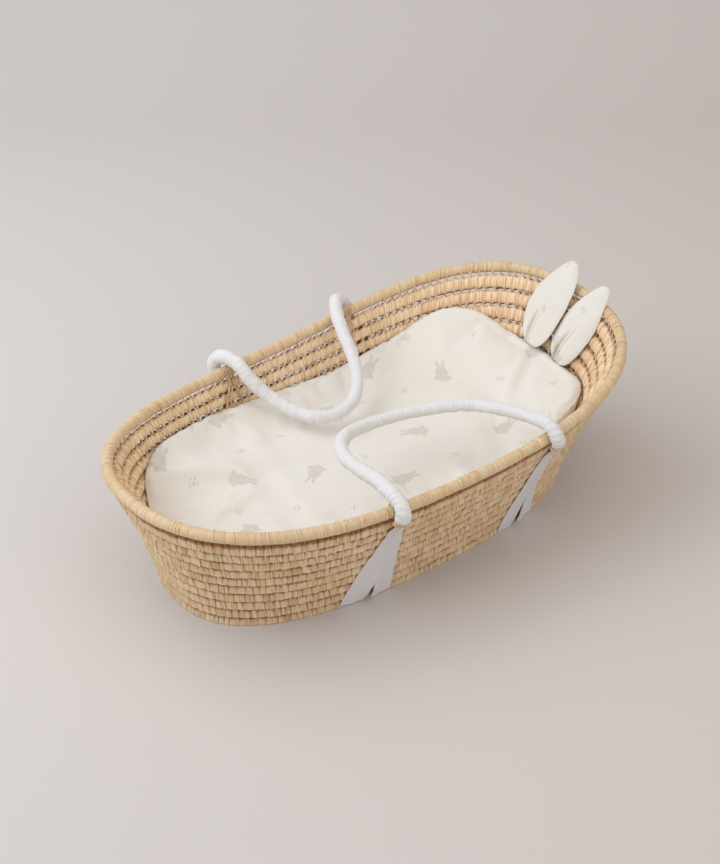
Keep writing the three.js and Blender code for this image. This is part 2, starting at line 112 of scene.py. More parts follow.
class Wall:
    """the wall's mid-surface on n samples round the basket"""

    def __init__(self, n):
        self.n = n
        self.t = even_params(n)
        self.rim = oval(RIM, self.t)
        foot = oval(FOOT, self.t)
        d = smooth_ring(np.roll(foot, -2, 0) - np.roll(foot, 2, 0), max(1, n // 300))
        d /= np.linalg.norm(d, axis=1)[:, None] + 1e-12
        self.foot = foot + np.stack([d[:, 1], -d[:, 0]], 1) * (-WALL_T / 2)
        self.H = rim_z(self.rim[:, 0])
        self.vtop = 1 - (RIM_R + 0.5) / (self.H - WALL_Z0)

    def at(self, v):
        v = np.broadcast_to(np.asarray(v, float), (self.n,))
        w = np.clip(v, 1e-6, 2) ** WALL_P
        xy = self.foot * (1 - w)[:, None] + self.rim * w[:, None]
        z = WALL_Z0 + (self.H - WALL_Z0) * v
        return np.c_[xy, z]

    def frame(self, v):
        """point, unit tangent along the ring, outward normal, unit direction up the wall, and mm per unit v"""
        v = np.broadcast_to(np.asarray(v, float), (self.n,))
        p = self.at(v)
        up = self.at(v + 0.01) - self.at(v - 0.01)
        length = np.linalg.norm(up, axis=1) / 0.02
        up /= np.linalg.norm(up, axis=1)[:, None]
        t = smooth_ring(np.roll(p, -1, 0) - np.roll(p, 1, 0), max(1, self.n // 400))
        t /= np.linalg.norm(t, axis=1)[:, None]
        nrm = np.cross(t, up)
        nrm /= np.linalg.norm(nrm, axis=1)[:, None]
        return p, t, nrm, up, length


# ------------------------------------------------------------------ mesh helpers
def make_mesh(name, verts, faces, attrs=None, uv=None, smooth=True, body="basket", material=None):
    """verts in mm in the basket's own axes; faces (m, 4) or (m, 3); attrs name -> per-vertex floats"""
    me = bpy.data.meshes.new(name)
    verts = (np.asarray(verts, float) + SHIFT) * MM
    faces = np.asarray(faces, np.int32)
    k = faces.shape[1]
    me.vertices.add(len(verts))
    me.vertices.foreach_set("co", verts.astype(np.float32).ravel())
    me.loops.add(faces.size)
    me.loops.foreach_set("vertex_index", faces.ravel())
    me.polygons.add(len(faces))
    me.polygons.foreach_set("loop_start", np.arange(0, faces.size, k, dtype=np.int32))
    me.update(calc_edges=True)
    me.validate()
    if smooth:
        me.polygons.foreach_set("use_smooth", np.ones(len(me.polygons), bool))
    for an, av in (attrs or {}).items():
        a = me.attributes.new(an, "FLOAT", "POINT")
        a.data.foreach_set("value", np.asarray(av, np.float32).ravel())
    if uv is not None:
        layer = me.uv_layers.new(name="UVMap")
        layer.data.foreach_set("uv", np.asarray(uv, np.float32).ravel())
    o = bpy.data.objects.new(name, me)
    bpy.context.scene.collection.objects.link(o)
    if material is not None:
        me.materials.append(material)
    if body:
        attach(o, body)
    return o


def ring_faces(rings, n, close_rings=True):
    """quads of a grid of `rings` rows by n samples, wrapped along the samples and, if asked, along the rows"""
    rr = rings if close_rings else rings - 1
    j, i = np.meshgrid(np.arange(rr), np.arange(n), indexing="ij")
    a = j * n + i
    b = j * n + (i + 1) % n
    c = ((j + 1) % rings) * n + (i + 1) % n
    d = ((j + 1) % rings) * n + i
    return np.stack([a, b, c, d], -1).reshape(-1, 4)


def ring_uv(rings, n, u, v, close_rings=True):
    """loop uvs for ring_faces: u (n + 1) along the samples, v (rings + 1) along the rows, in metres"""
    rr = rings if close_rings else rings - 1
    j, i = np.meshgrid(np.arange(rr), np.arange(n), indexing="ij")
    U = np.stack([u[i], u[i + 1], u[i + 1], u[i]], -1)
    W = np.stack([v[j], v[j], v[j + 1], v[j + 1]], -1)
    return np.stack([U, W], -1).reshape(-1, 2)


def smoothstep(a, b, x):
    t = np.clip((x - a) / (b - a), 0, 1)
    return t * t * (3 - 2 * t)


def spans(rng, total, mean, jitter):
    """boundaries of irregular spans that close round a ring of the given length"""
    n = max(3, int(round(total / mean)))
    w = 1 + rng.uniform(-jitter, jitter, n)
    return np.r_[0, np.cumsum(w)] / w.sum() * total


def noise1(rng, n, cells, amp=1.0):
    """smooth circular noise of n samples with the given number of cells"""
    v = rng.uniform(-1, 1, cells)
    x = np.arange(n) / n * cells
    i = np.floor(x).astype(int) % cells
    f = x - np.floor(x)
    f = f * f * (3 - 2 * f)
    return amp * (v[i] * (1 - f) + v[(i + 1) % cells] * f)


# ------------------------------------------------------------------ materials
def srgb(r, g, b):
    def f(c):
        c /= 255
        return c / 12.92 if c <= 0.04045 else ((c + 0.055) / 1.055) ** 2.4

    return (f(r), f(g), f(b), 1)


class Nodes:
    def __init__(self, name):
        self.m = bpy.data.materials.new(name)
        self.m.use_nodes = True
        self.t = self.m.node_tree
        self.t.nodes.clear()
        self.out = self.t.nodes.new("ShaderNodeOutputMaterial")
        self.bsdf = self.t.nodes.new("ShaderNodeBsdfPrincipled")
        self.t.links.new(self.bsdf.outputs[0], self.out.inputs[0])

    def n(self, kind, ins=None, **props):
        node = self.t.nodes.new("ShaderNode" + kind)
        for k, v in props.items():
            setattr(node, k, v)
        for k, v in (ins or {}).items():
            self.put(node.inputs[k], v)
        return node

    def put(self, socket, v):
        if isinstance(v, bpy.types.NodeSocket):
            self.t.links.new(v, socket)
        elif isinstance(v, bpy.types.Node):
            self.t.links.new(v.outputs[0], socket)
        else:
            socket.default_value = v

    def math(self, op, a, b=0.0, c=0.0, clamp=False):
        node = self.n("Math", {0: a, 1: b, 2: c}, operation=op, use_clamp=clamp)
        return node.outputs[0]

    def vmath(self, op, a, b=(0, 0, 0)):
        node = self.n("VectorMath", {0: a, 1: b}, operation=op)
        return node.outputs["Value"] if op in ("LENGTH", "DOT_PRODUCT", "DISTANCE") else node.outputs[0]

    def attr(self, name):
        return self.n("Attribute", attribute_name=name).outputs["Fac"]

    def noise(self, vec, scale, detail=2.0, rough=0.5, dims="3D"):
        node = self.n("TexNoise", {"Scale": scale, "Detail": detail, "Roughness": rough}, noise_dimensions=dims)
        self.put(node.inputs["Vector"], vec)
        return node.outputs[0]

    def mix(self, fac, a, b, mode="MIX"):
        node = self.t.nodes.new("ShaderNodeMix")
        node.data_type = "RGBA"
        node.blend_type = mode
        self.put(node.inputs[0], fac)
        self.put(node.inputs[6], a)
        self.put(node.inputs[7], b)
        return node.outputs[2]

    def ramp(self, fac, stops):
        node = self.n("ValToRGB")
        self.put(node.inputs[0], fac)
        e = node.color_ramp.elements
        while len(e) < len(stops):
            e.new(0.5)
        for el, (p, c) in zip(e, stops):
            el.position = p
            el.color = c
        return node.outputs[0]

    def bump(self, height, strength, distance, normal=None):
        node = self.n("Bump", {"Height": height, "Strength": strength, "Distance": distance})
        if normal is not None:
            self.put(node.inputs["Normal"], normal)
        return node.outputs[0]

    def uv(self):
        return self.n("UVMap", uv_map="UVMap").outputs[0]

    def scaled(self, vec, s):
        return self.vmath("MULTIPLY", vec, s)


def straw_material(name, light, mid, dark, warm, gap, vary=0.42):
    m = Nodes(name)
    uv = m.uv()
    obj = m.n("TexCoord").outputs["Object"]
    tint, warmth, painted_shade = m.attr("tint"), m.attr("warm"), m.attr("painted_shade")
    fibre = m.noise(m.scaled(uv, (1500, 50, 0)), 1.0, 3.0, 0.7, "2D")
    streak = m.noise(m.scaled(uv, (430, 22, 0)), 1.0, 2.0, 0.5, "2D")
    blotch = m.noise(obj, 9.0, 2.0, 0.5)
    fac = m.math("MULTIPLY_ADD", tint, vary, 0.52 - vary / 2)
    fac = m.math("MULTIPLY_ADD", m.math("SUBTRACT", fibre, 0.5), 1.05, fac)
    fac = m.math("MULTIPLY_ADD", m.math("SUBTRACT", streak, 0.5), 0.9, fac)
    fac = m.math("MULTIPLY_ADD", m.math("SUBTRACT", blotch, 0.5), 0.3, fac, clamp=True)
    col = m.ramp(fac, [(0.0, dark), (0.5, mid), (1.0, light)])
    # thin darker splits along the leaf
    split = m.n("MapRange", {0: m.noise(m.scaled(uv, (620, 18, 0)), 1.0, 1.0, 0.4, "2D"), 1: 0.27, 2: 0.36, 3: 0.75, 4: 0.0}).outputs[0]
    col = m.mix(split, col, warm)
    col = m.mix(warmth, col, warm)
    # painted fill light: faces marked for it (the inner side of the wall turns) get a brighter, less warm colour
    col = m.mix(m.attr("painted_fill_light"), col, m.vmath("MULTIPLY", col, (1.24, 1.27, 1.35)))
    # painted shade: the dark gap colour is mixed in by the per-vertex attribute read above, in grooves, recesses,
    # hidden faces and undersides
    col = m.mix(painted_shade, col, gap)
    m.put(m.bsdf.inputs["Base Color"], col)
    rough = m.math("MULTIPLY_ADD", fibre, 0.2, 0.5, clamp=True)
    m.put(m.bsdf.inputs["Roughness"], rough)
    m.bsdf.inputs["Specular IOR Level"].default_value = 0.3
    h = m.math("MULTIPLY_ADD", streak, 0.6, fibre)
    m.put(m.bsdf.inputs["Normal"], m.bump(h, 0.6, 0.0005))
    return m.m


# the last colour given to each straw material is the painted shade colour for grooves, recesses, hidden faces and
# undersides
STRAW = straw_material("palm_braid", srgb(247, 228, 197), srgb(227, 198, 158), srgb(190, 150, 104), srgb(182, 126, 76), srgb(146, 94, 52), vary=0.26)
STRAW_RIM = straw_material("palm_rim", srgb(243, 224, 192), srgb(229, 202, 162), srgb(204, 168, 122), srgb(200, 148, 98), srgb(140, 92, 50), vary=0.2)
TWINE = straw_material("raffia", srgb(240, 218, 188), srgb(218, 188, 150), srgb(176, 138, 98), srgb(180, 126, 80), srgb(120, 78, 44))


def fabric_material(name, base, shade, weave=1500.0, rough=0.9, var=0.5, print_fn=None, bump_mm=0.00022, fuzz=0.25, coords="Object"):
    m = Nodes(name)
    obj = m.n("TexCoord").outputs["Object"]
    uv = m.uv()
    wv = uv if coords == "UV" else obj
    rot = m.n("VectorRotate", {"Vector": wv, "Angle": 0.6}, rotation_type="Z_AXIS").outputs[0] if coords != "UV" else uv
    sep = m.n("SeparateXYZ", {0: m.scaled(rot, (weave, weave, weave))})
    wx = m.math("SINE", sep.outputs[0])
    wy = m.math("SINE", sep.outputs[1])
    w = m.math("MULTIPLY", wx, wy)
    slub = m.noise(m.scaled(rot, (420, 60, 300)), 1.0, 3.0, 0.6)
    soft = m.noise(obj, 26.0, 3.0, 0.55)
    f = m.math("MULTIPLY_ADD", w, 0.10, 0.5)
    f = m.math("MULTIPLY_ADD", m.math("SUBTRACT", slub, 0.5), 0.5 * var, f)
    f = m.math("MULTIPLY_ADD", m.math("SUBTRACT", soft, 0.5), 0.6 * var, f, clamp=True)
    col = m.mix(f, shade, base)
    if print_fn:
        col = print_fn(m, obj, uv, col)
    m.put(m.bsdf.inputs["Base Color"], col)
    m.bsdf.inputs["Roughness"].default_value = rough
    m.bsdf.inputs["Specular IOR Level"].default_value = 0.2
    m.bsdf.inputs["Sheen Weight"].default_value = fuzz
    m.bsdf.inputs["Sheen Roughness"].default_value = 0.5
    h = m.math("MULTIPLY_ADD", slub, 0.8, w)
    m.put(m.bsdf.inputs["Normal"], m.bump(h, 0.5, bump_mm))
    return m.m


WHITE = fabric_material("white_cotton", srgb(243, 241, 239), srgb(229, 226, 224), weave=4200)

# ------------------------------------------------------------------ the braided wall
N = 2400          # samples round one turn
W = Wall(N)
IDX = np.arange(N)


class Interface:
    """where two turns meet: stitches that hold them together, with slots between the stitches"""

    def __init__(self, rng, length, s):
        b = spans(rng, length, 13.6, 0.16)[:-1]
        self.b = b
        self.s = s
        self.length = length
        gap = rng.uniform(0.78, 1.15, len(b))
        gap[rng.random(len(b)) < 0.04] = 0.3
        self.gap = gap
        self.half = rng.uniform(1.3, 2.1, len(b))

    def slot(self, shift=0.0):
        """0 on a stitch, up to about 1 in the middle of a slot, at every sample"""
        x = (self.s + shift) % self.length
        e = np.r_[self.b, self.length + self.b[0]]
        k = np.clip(np.searchsorted(e, x, "right") - 1, -1, len(self.b) - 1)
        k = np.where(k < 0, len(self.b) - 1, k)
        lo, hi = e[k], e[(k + 1)]
        x2 = np.where(x < lo, x + self.length, x)
        d0, d1 = x2 - lo, hi - x2
        h0, h1 = self.half[k], self.half[(k + 1) % len(self.b)]
        return smoothstep(h0, h0 + 1.5, d0) * smoothstep(h1, h1 + 1.5, d1) * self.gap[k]


def turn_length(v):
    p = W.at(v)
    seg = np.linalg.norm(np.roll(p, -1, 0) - p, axis=1)
    return seg, np.r_[0, np.cumsum(seg)]


interfaces = []
for i in range(COURSES + 1):
    seg, cum = turn_length(W.vtop * i / COURSES)
    interfaces.append(Interface(np.random.default_rng(100 + i), cum[-1], cum[:-1]))


def pick(rng, bounds, s, total):
    """index of the span each s falls in and its 0..1 place in it"""
    x = np.mod(s, total)
    k = np.clip(np.searchsorted(bounds, x, "right") - 1, 0, len(bounds) - 2)
    f = (x - bounds[k]) / (bounds[k + 1] - bounds[k])
    return k, f


def under_strap(p, v):
    """1 where a cloth strap presses on the wall's outer face at height share v"""
    f = np.zeros(len(p))
    for xc, lx, rx, lv, rv in ((-133.5, -124, -119, .82, .82), (152.0, 150, 140, .83, .83)):
        for side, tx, tv in ((-1, lx, lv), (1, rx, rv)):
            q = np.clip((tv - v) / (tv - 0.035), -0.2, 1)
            w = np.interp(q, [-0.2, 0, 0.25, 0.7, 1], [0, 20, 34, 62, 78])
            cx = tx + (xc - tx) * np.maximum(q, 0.0) ** 1.1
            m = 1 - smoothstep(w / 2 - 1, w / 2 + 4, np.abs(p[:, 0] - cx))
            f = np.maximum(f, m * (p[:, 1] * side > 0) * (q > -0.15))
    return f


def build_turn(i):
    rng = np.random.default_rng(1000 + i)
    vc = W.vtop * (i + 0.5) / COURSES
    p, t, nrm, up, per_v = W.frame(vc)
    pitch = per_v * W.vtop / COURSES
    seg, cum = turn_length(vc)
    s, total = cum[:-1], cum[-1]
    below, above = interfaces[i], interfaces[i + 1]
    lean = 1.1
    sb = below.slot(lean) if i > 0 else np.zeros(N)
    st = above.slot(-lean)
    gap = 6.2
    h0 = pitch / 2
    hT = h0 + 0.15 - st * gap * 0.56
    hB = h0 + 0.15 - sb * gap * 0.40
    if i == 0:
        hB = h0 - 0.4 + 0 * s
    # behind the stitches the turns stay a little apart, so that light comes through
    qT = h0 - (3.6 if i < COURSES - 1 else 3.2)
    qB = h0 - 1.7 if i > 0 else h0 - 0.4
    # wraps: thin strips round the braid on the inside
    wraps = spans(rng, total, 3.3, 0.45)
    wk, wf = pick(rng, wraps, s + noise1(rng, N, 60, 1.0), total)
    we = np.minimum(wf, 1 - wf)
    deep = np.where(rng.random(len(wraps)) < 0.16, 1.0, rng.uniform(0.15, 0.5, len(wraps)))[wk]
    wrap_r = rng.uniform(-0.22, 0.25, len(wraps))[wk] + 0.5 * smoothstep(0.0, 0.34, we) * (0.4 + 0.6 * deep)
    # painted shade in the grooves between wraps, strongest at the deep ones
    wrap_shade_paint = 0.75 * deep * (1 - smoothstep(0.0, 0.2, we))
    # bulges between the stitches
    end_w = np.abs(p[:, 0]) / RIM["a"]
    bead = 1.0 + 3.4 * smoothstep(0.5, 0.9, end_w)
    rnd = 0.72 + 0.3 * smoothstep(0.5, 0.9, end_w)
    bul = above.slot(-lean) * 0.5 + (below.slot(lean) if i > 0 else above.slot(0)) * 0.5
    din = 6.5 + bead * bul + wrap_r + noise1(rng, N, 90, 0.45)
    # outside: flared leaf ends, one per shingle
    leaves = spans(rng, total, 10.6, 0.42)
    nl = len(leaves)
    l_off, l_drop = rng.uniform(-0.5, 0.5, nl), rng.uniform(-0.16, 0.18, nl)
    l_drop[rng.random(nl) < 0.05] += 0.7
    l_tilt, l_tint = rng.uniform(-0.9, 0.9, nl), rng.uniform(0, 1, nl)
    l_warm = np.where(rng.random(nl) < 0.04, rng.uniform(0.15, 0.4, nl), 0.0)
    l_hang = rng.uniform(-0.4, 0.5, nl)
    l_open = rng.uniform(0.3, 1.9, nl)
    slant = noise1(rng, N, 150, 2.4) + noise1(rng, N, 30, 1.2)
    wave = noise1(rng, N, 46, 0.35)
    open_in = smoothstep(4, 6, i)
    press = under_strap(p, vc)
    rows, tint, warm, shade_paint, painted_fill_light = [], [], [], [], []
    w_tint = rng.uniform(0.1, 0.95, len(wraps))
    w_warm = np.where(rng.random(len(wraps)) < 0.03, rng.uniform(0.2, 0.5, len(wraps)), 0.0)

    def row(n, h, tn, wm, row_shade):
        rows.append(p + nrm * np.broadcast_to(n, (N,))[:, None] + up * np.broadcast_to(h, (N,))[:, None])
        tint.append(np.broadcast_to(tn, (N,)).copy())
        warm.append(np.broadcast_to(wm, (N,)).copy())
        shade_paint.append(np.broadcast_to(row_shade, (N,)).copy())
        painted_fill_light.append(np.full(N, light))

    # painted fill light: the inner rows below are marked for the brighter colour
    light = 1.0
    # inner half, from the top over the inside to the bottom
    M = 13
    for j in range(M):
        a = math.pi * j / (M - 1)
        c, sn = math.cos(a), math.sin(a)
        ch = math.copysign(abs(c) ** 0.85, c)
        n = -2.8 - (din - 2.8) * sn**rnd
        h = np.where(c >= 0, hT, hB) * ch
        edge = abs(c) ** 4
        # painted shade: also darker towards the top and bottom of the inside, where the turns meet
        row(n, h, w_tint[wk], w_warm[wk], np.clip(wrap_shade_paint * (0.55 + 0.45 * sn) + 0.22 * edge, 0, 1))
    light = 0.0
    # under the braid and out to the leaf's lower edge; these hidden faces carry painted shade
    row(-1.6, -np.minimum(hB, qB), 0.4, 0.0, 0.45)
    row(1.6, -qB + 0.8 * sb, 0.4, 0.0, 0.6)

    def leaf(tt):
        k, f = pick(rng, leaves, s + slant * tt * 0.9, total)
        width = leaves[k + 1] - leaves[k]
        e = np.minimum(f, 1 - f) * width
        open_ = 0.16 + l_open[k] * smoothstep(0.15, 1.0, tt)
        groove = 1 - smoothstep(open_ * 0.5, open_ + 0.3, e)
        crown = 0.8 * (1 - (2 * f - 1) ** 4) + l_tilt[k] * (f - 0.5) * 1.4
        return k, f, groove, crown

    k0, f0, g0, c0 = leaf(0.0)
    if i > 0:
        lip = 1.8 + l_drop[k0] - 0.5 * g0 + wave - 1.5 * sb * open_in
    else:
        lip = np.zeros(N)
    n_lip = 7.9 + l_off[k0] + c0 - press * (0.4 + 0.6 * (l_off[k0] + c0))
    # painted shade on the faces just under each lip
    row(4.4, -h0 + 0.4 - 0.5 * lip, l_tint[k0], 0.0, 0.6)
    row(n_lip - 1.2, -h0 - lip + 0.25, l_tint[k0], l_warm[k0], 0.6)
    # painted highlight: the lip's lower edge gets a lighter tint
    row(n_lip - 0.15, -h0 - lip, l_tint[k0] + 0.2, l_warm[k0], 0.0)
    row(n_lip, -h0 - lip + 0.7, l_tint[k0] + 0.3, l_warm[k0], 0.0)
    T = 9
    for j in range(T):
        tt = (j + 0.6) / (T - 0.4)
        k, f, g, c = leaf(tt)
        base = 7.9 + (4.3 + l_hang[k] - 7.9) * tt**1.15
        n = base + (l_off[k] + c) * (1 - 0.45 * tt) - g * (1.1 + 2.0 * tt)
        n = n - press * (0.4 + 0.6 * (l_off[k] + c)) * (1 - tt)
        # painted highlight and shade in the tint: each leaf is lighter towards its lower edge and darker towards its
        # top
        h = (-h0 - lip + 1.1) * (1 - tt) + (h0 - 2.3 - 2.4 * st) * tt
        # painted shade: a dark band over the top of each leaf, in the shadow under the lip above, and in the grooves
        # between leaves
        dark = 0.85 * smoothstep(0.60 + 0.05 * l_tilt[k], 0.84 + 0.05 * l_tilt[k], tt)
        row(n, h, l_tint[k] + 0.3 * (1 - tt) - 0.12 * tt, l_warm[k], np.clip(0.85 * g * (0.35 + 0.65 * tt) + dark, 0, 1))
    # painted shade on the hidden faces back under the braid
    row(1.4, qT - 1.0 * st, 0.3, 0.0, 0.6)
    row(-1.2, np.minimum(qT, hT), 0.3, 0.0, 0.45)
    R = len(rows)
    v = np.concatenate(rows)
    u = np.r_[s, total] * MM
    mid = N // 3
    pts = np.stack([r[mid] for r in rows] + [rows[0][mid]])
    arc = np.r_[0, np.cumsum(np.linalg.norm(np.diff(pts, axis=0), axis=1))] * MM
    o = make_mesh(f"wall_turn_{i + 1:02d}_weave", v, ring_faces(R, N), dict(tint=np.concatenate(tint), warm=np.concatenate(warm), painted_shade=np.concatenate(shade_paint), painted_fill_light=np.concatenate(painted_fill_light)),
                  ring_uv(R, N, u, arc), material=STRAW)
    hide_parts(f"wall_turn_{i + 1:02d}")
    return o


for i in range(COURSES):
    build_turn(i)


def build_rim():
    rng = np.random.default_rng(77)
    n = 3000
    wl = Wall(n)
    p, t, nrm, up, per_v = wl.frame(1.0)
    seg = np.linalg.norm(np.roll(p, -1, 0) - p, axis=1)
    cum = np.r_[0, np.cumsum(seg)]
    s, total = cum[:-1], cum[-1]
    strips = spans(rng, total, 4.2, 0.5)
    ns = len(strips)
    lean = noise1(rng, n, 40, 3.0)
    w_tint = rng.uniform(0.1, 0.95, ns)
    w_warm = np.where(rng.random(ns) < 0.02, rng.uniform(0.2, 0.55, ns), rng.uniform(0.0, 0.06, ns))
    w_r = rng.uniform(-0.16, 0.18, ns)
    w_til = rng.uniform(-0.3, 0.4, ns)
    w_deep = np.where(rng.random(ns) < 0.07, 1.5, rng.uniform(0.1, 0.55, ns))
    lump = noise1(rng, n, 90, 0.5) + noise1(rng, n, 26, 0.35)
    S, rows, tint, warm, shade_paint = 22, [], [], [], []
    for j in range(S):
        a = 2 * math.pi * j / S
        k, f = pick(rng, strips, s + lean * math.sin(a + 0.6) * 0.8, total)
        e = np.minimum(f, 1 - f)
        prof = 0.42 * w_deep[k] * smoothstep(0.0, 0.22, e) + w_til[k] * (f - 0.5) * 0.5
        r = 8.2 + prof + w_r[k] + lump
        # a little taller than wide
        rows.append(p + nrm * (r * math.cos(a))[:, None] + up * (r * 1.04 * math.sin(a))[:, None])
        tint.append(w_tint[k])
        warm.append(w_warm[k])
        # painted shade: darker in the grooves between the wrap strips and on the roll's underside
        low = max(0.0, -math.sin(a))
        shade_paint.append(np.clip(0.6 * w_deep[k] * (1 - smoothstep(0.0, 0.14, e)) + 0.6 * low**5, 0, 1))
    v = np.concatenate(rows)
    o = make_mesh("rim_wrap", v, ring_faces(S, n), dict(tint=np.concatenate(tint), warm=np.concatenate(warm), painted_shade=np.concatenate(shade_paint)),
                  ring_uv(S, n, np.r_[s, total] * MM, np.arange(S + 1) * (2 * math.pi * 9 / S) * MM), material=STRAW_RIM)
    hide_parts("rim_roll")


build_rim()


def build_stitches():
    """the palm strands that bind one turn to the next across each slot line, seen on the inside"""
    rng = np.random.default_rng(5)
    V, F, T_, Wm, C, UV = [], [], [], [], [], []
    base = 0
    for i in range(1, COURSES + 1):
        vi = W.vtop * i / COURSES
        p, t, nrm, up, per_v = W.frame(vi)
        it = interfaces[i]
        for b in it.b:
            for rep in range(2 if rng.random() < 0.4 else 1):
                sc = b + rng.uniform(-1.4, 1.4) + (rep * 1.5 if rep else 0)
                lean = rng.uniform(-1.8, 1.8) + 1.6
                wd = rng.uniform(1.6, 2.7)
                hh = rng.uniform(4.6, 6.4)
                lift = rng.uniform(0.1, 0.8)
                tn, wm = rng.uniform(0.1, 0.9), (0.5 if rng.random() < 0.05 else 0.05)
                prof = [(-hh, 5.6), (-hh * 0.7, 6.9 + lift), (-hh * 0.3, 6.4 + lift), (0, 5.6 + lift), (hh * 0.3, 6.4 + lift), (hh * 0.7, 6.9 + lift), (hh, 5.6)]
                for q, (h, n) in enumerate(prof):
                    for cx in (-1, -0.45, 0.45, 1):
                        ss = sc + lean * h / hh + cx * wd / 2
                        k = int(np.searchsorted(it.s, ss % it.length, "right") - 1) % N
                        d = (ss % it.length) - it.s[k]
                        crown = 0.45 if abs(cx) < 0.9 else -0.5
                        V.append(p[k] + t[k] * d - nrm[k] * (n + crown) + up[k] * h)
                        T_.append(tn)
                        Wm.append(wm)
                        # painted shade: a little darker where the stitch dips into the slot
                        C.append(0.0 if abs(h) > 1 else 0.12)
                for q in range(6):
                    for c in range(3):
                        a = base + q * 4 + c
                        F.append((a, a + 1, a + 5, a + 4))
                        UV += [((sc + c) * MM, q * MM), ((sc + c + 1) * MM, q * MM), ((sc + c + 1) * MM, (q + 1) * MM), ((sc + c) * MM, (q + 1) * MM)]
                base += 28
    o = make_mesh("wall_stitches", np.array(V), np.array(F), dict(tint=T_, warm=Wm, painted_shade=C), UV, material=STRAW)
    m = o.modifiers.new("thick", "SOLIDIFY")
    m.thickness = 0.0004
    m.offset = 0


build_stitches()


def build_base():
    """the flat spiral of braid under the mattress, seen from below and from above in a bare basket"""
    rng = np.random.default_rng(9)
    n = 900
    t = even_params(n)
    outer = offset2(oval(FOOT, t), -WALL_T - 1.0)
    width = 18.6
    rings = 8
    V, F, A, B, C, UV = [], [], [], [], [], []
    base = 0
    half_w = 151.0
    for r in range(rings):
        k = (r + 0.5) * width
        sc = 1 - k / half_w
        # shrink towards a line along the middle, so each ring keeps its width
        xs, ys = outer[:, 0], outer[:, 1]
        L = 329 - half_w
        cx = np.clip(xs, -L - 4, L - 4)
        c2 = np.stack([cx, 0 * ys], 1)
        d = outer - c2
        dl = np.linalg.norm(d, axis=1)
        mid = c2 + d * np.maximum((dl - k) / dl, 0.02)[:, None]
        nr = d / dl[:, None]
        seg = np.linalg.norm(np.roll(mid, -1, 0) - mid, axis=1)
        cum = np.r_[0, np.cumsum(seg)]
        total = cum[-1]
        w = spans(rng, total, 5.0, 0.4)
        kk, ff = pick(rng, w, cum[:-1], total)
        wt = rng.uniform(0.1, 0.95, len(w))
        ww = np.where(rng.random(len(w)) < 0.04, 0.5, 0.04)
        bump = 0.45 * np.sin(np.pi * ff) ** 0.7 + rng.uniform(-0.2, 0.2, len(w))[kk]
        S = 14
        for j in range(S):
            a = 2 * math.pi * j / S
            ca, sa = math.cos(a), math.sin(a)
            hw = (width / 2 + 0.15) * math.copysign(abs(ca) ** 0.6, ca)
            hz = 5.6 * math.copysign(abs(sa) ** 0.7, sa)
            z = 6.0 + hz + (bump - 0.3) * (1 if sa > 0 else -1) * abs(sa)
            xy = mid + nr * hw
            z = np.clip(z, 0.05, 12.3)
            for xs_ in (-133.5, 152.0):
                inn = 1 - smoothstep(39.5, 42.0, np.abs(xy[:, 0] - xs_))
                z = np.maximum(z, 1.75 * inn)
            V.append(np.c_[xy, z])
            # painted shade: darker along each ring's sides, where it meets its neighbours
            A.append(wt[kk]); B.append(ww[kk]); C.append(np.full(n, 0.6 * abs(ca) ** 5))
        F.append(ring_faces(S, n) + base)
        UV.append(ring_uv(S, n, cum * MM, np.arange(S + 1) * 0.004))
        base += S * n
    o = make_mesh("base_spiral", np.concatenate(V), np.concatenate(F), dict(tint=np.concatenate(A), warm=np.concatenate(B), painted_shade=np.concatenate(C)), np.concatenate(UV), material=STRAW)
    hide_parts("coiled_base")


build_base()

# ------------------------------------------------------------------ routes of the carry handles (as in the CAD)
REAR_PATH = [[-115, 226, 207], [-108, 205, 207], [-104, 189, 201], [-99, 176, 187], [-86, 158, 167], [-73, 138, 153], [-59, 112, 144], [-43, 87, 140.5], [-18, 75, 140],
             [11, 75, 143], [34, 86, 150], [53, 105, 160], [64, 125, 173], [72, 150, 189], [80, 182, 205], [92, 212, 219], [110, 238, 223.5]]
FRONT_PATH = [[-128, -222, 209], [-129, -205, 213], [-127, -180, 213.5], [-126, -146, 209], [-122, -106, 203], [-110, -73, 198], [-97, -56, 195], [-78, -42, 192], [-55, -36, 190],
              [-14, -36, 189], [29, -47, 190], [72, -69, 194], [104, -95, 199], [122, -134, 207], [131, -173, 216], [134, -209, 223], [136, -232, 224]]
NECKS = dict(front_left=[[-130.0, -228.5, 171], [-126.5, -230.5, 177], [-128.5, -235.5, 188], [-129.5, -237.5, 197]],
             front_right=[[145, -239.5, 189], [145, -241, 193], [141.5, -246.5, 202], [138, -247, 210]],
             rear_left=[[-119, 231.5, 160.5], [-119, 232, 166], [-122, 238.5, 184], [-120, 239, 194]],
             rear_right=[[140, 240.5, 176], [140, 241, 181], [138, 250.5, 198], [130, 251, 209]])
TIE = dict(front_left=(-124, .82, -1), front_right=(150, .83, -1), rear_left=(-119, .82, 1), rear_right=(140, .83, 1))
STRAP_X = dict(left=-133.5, right=152.0)


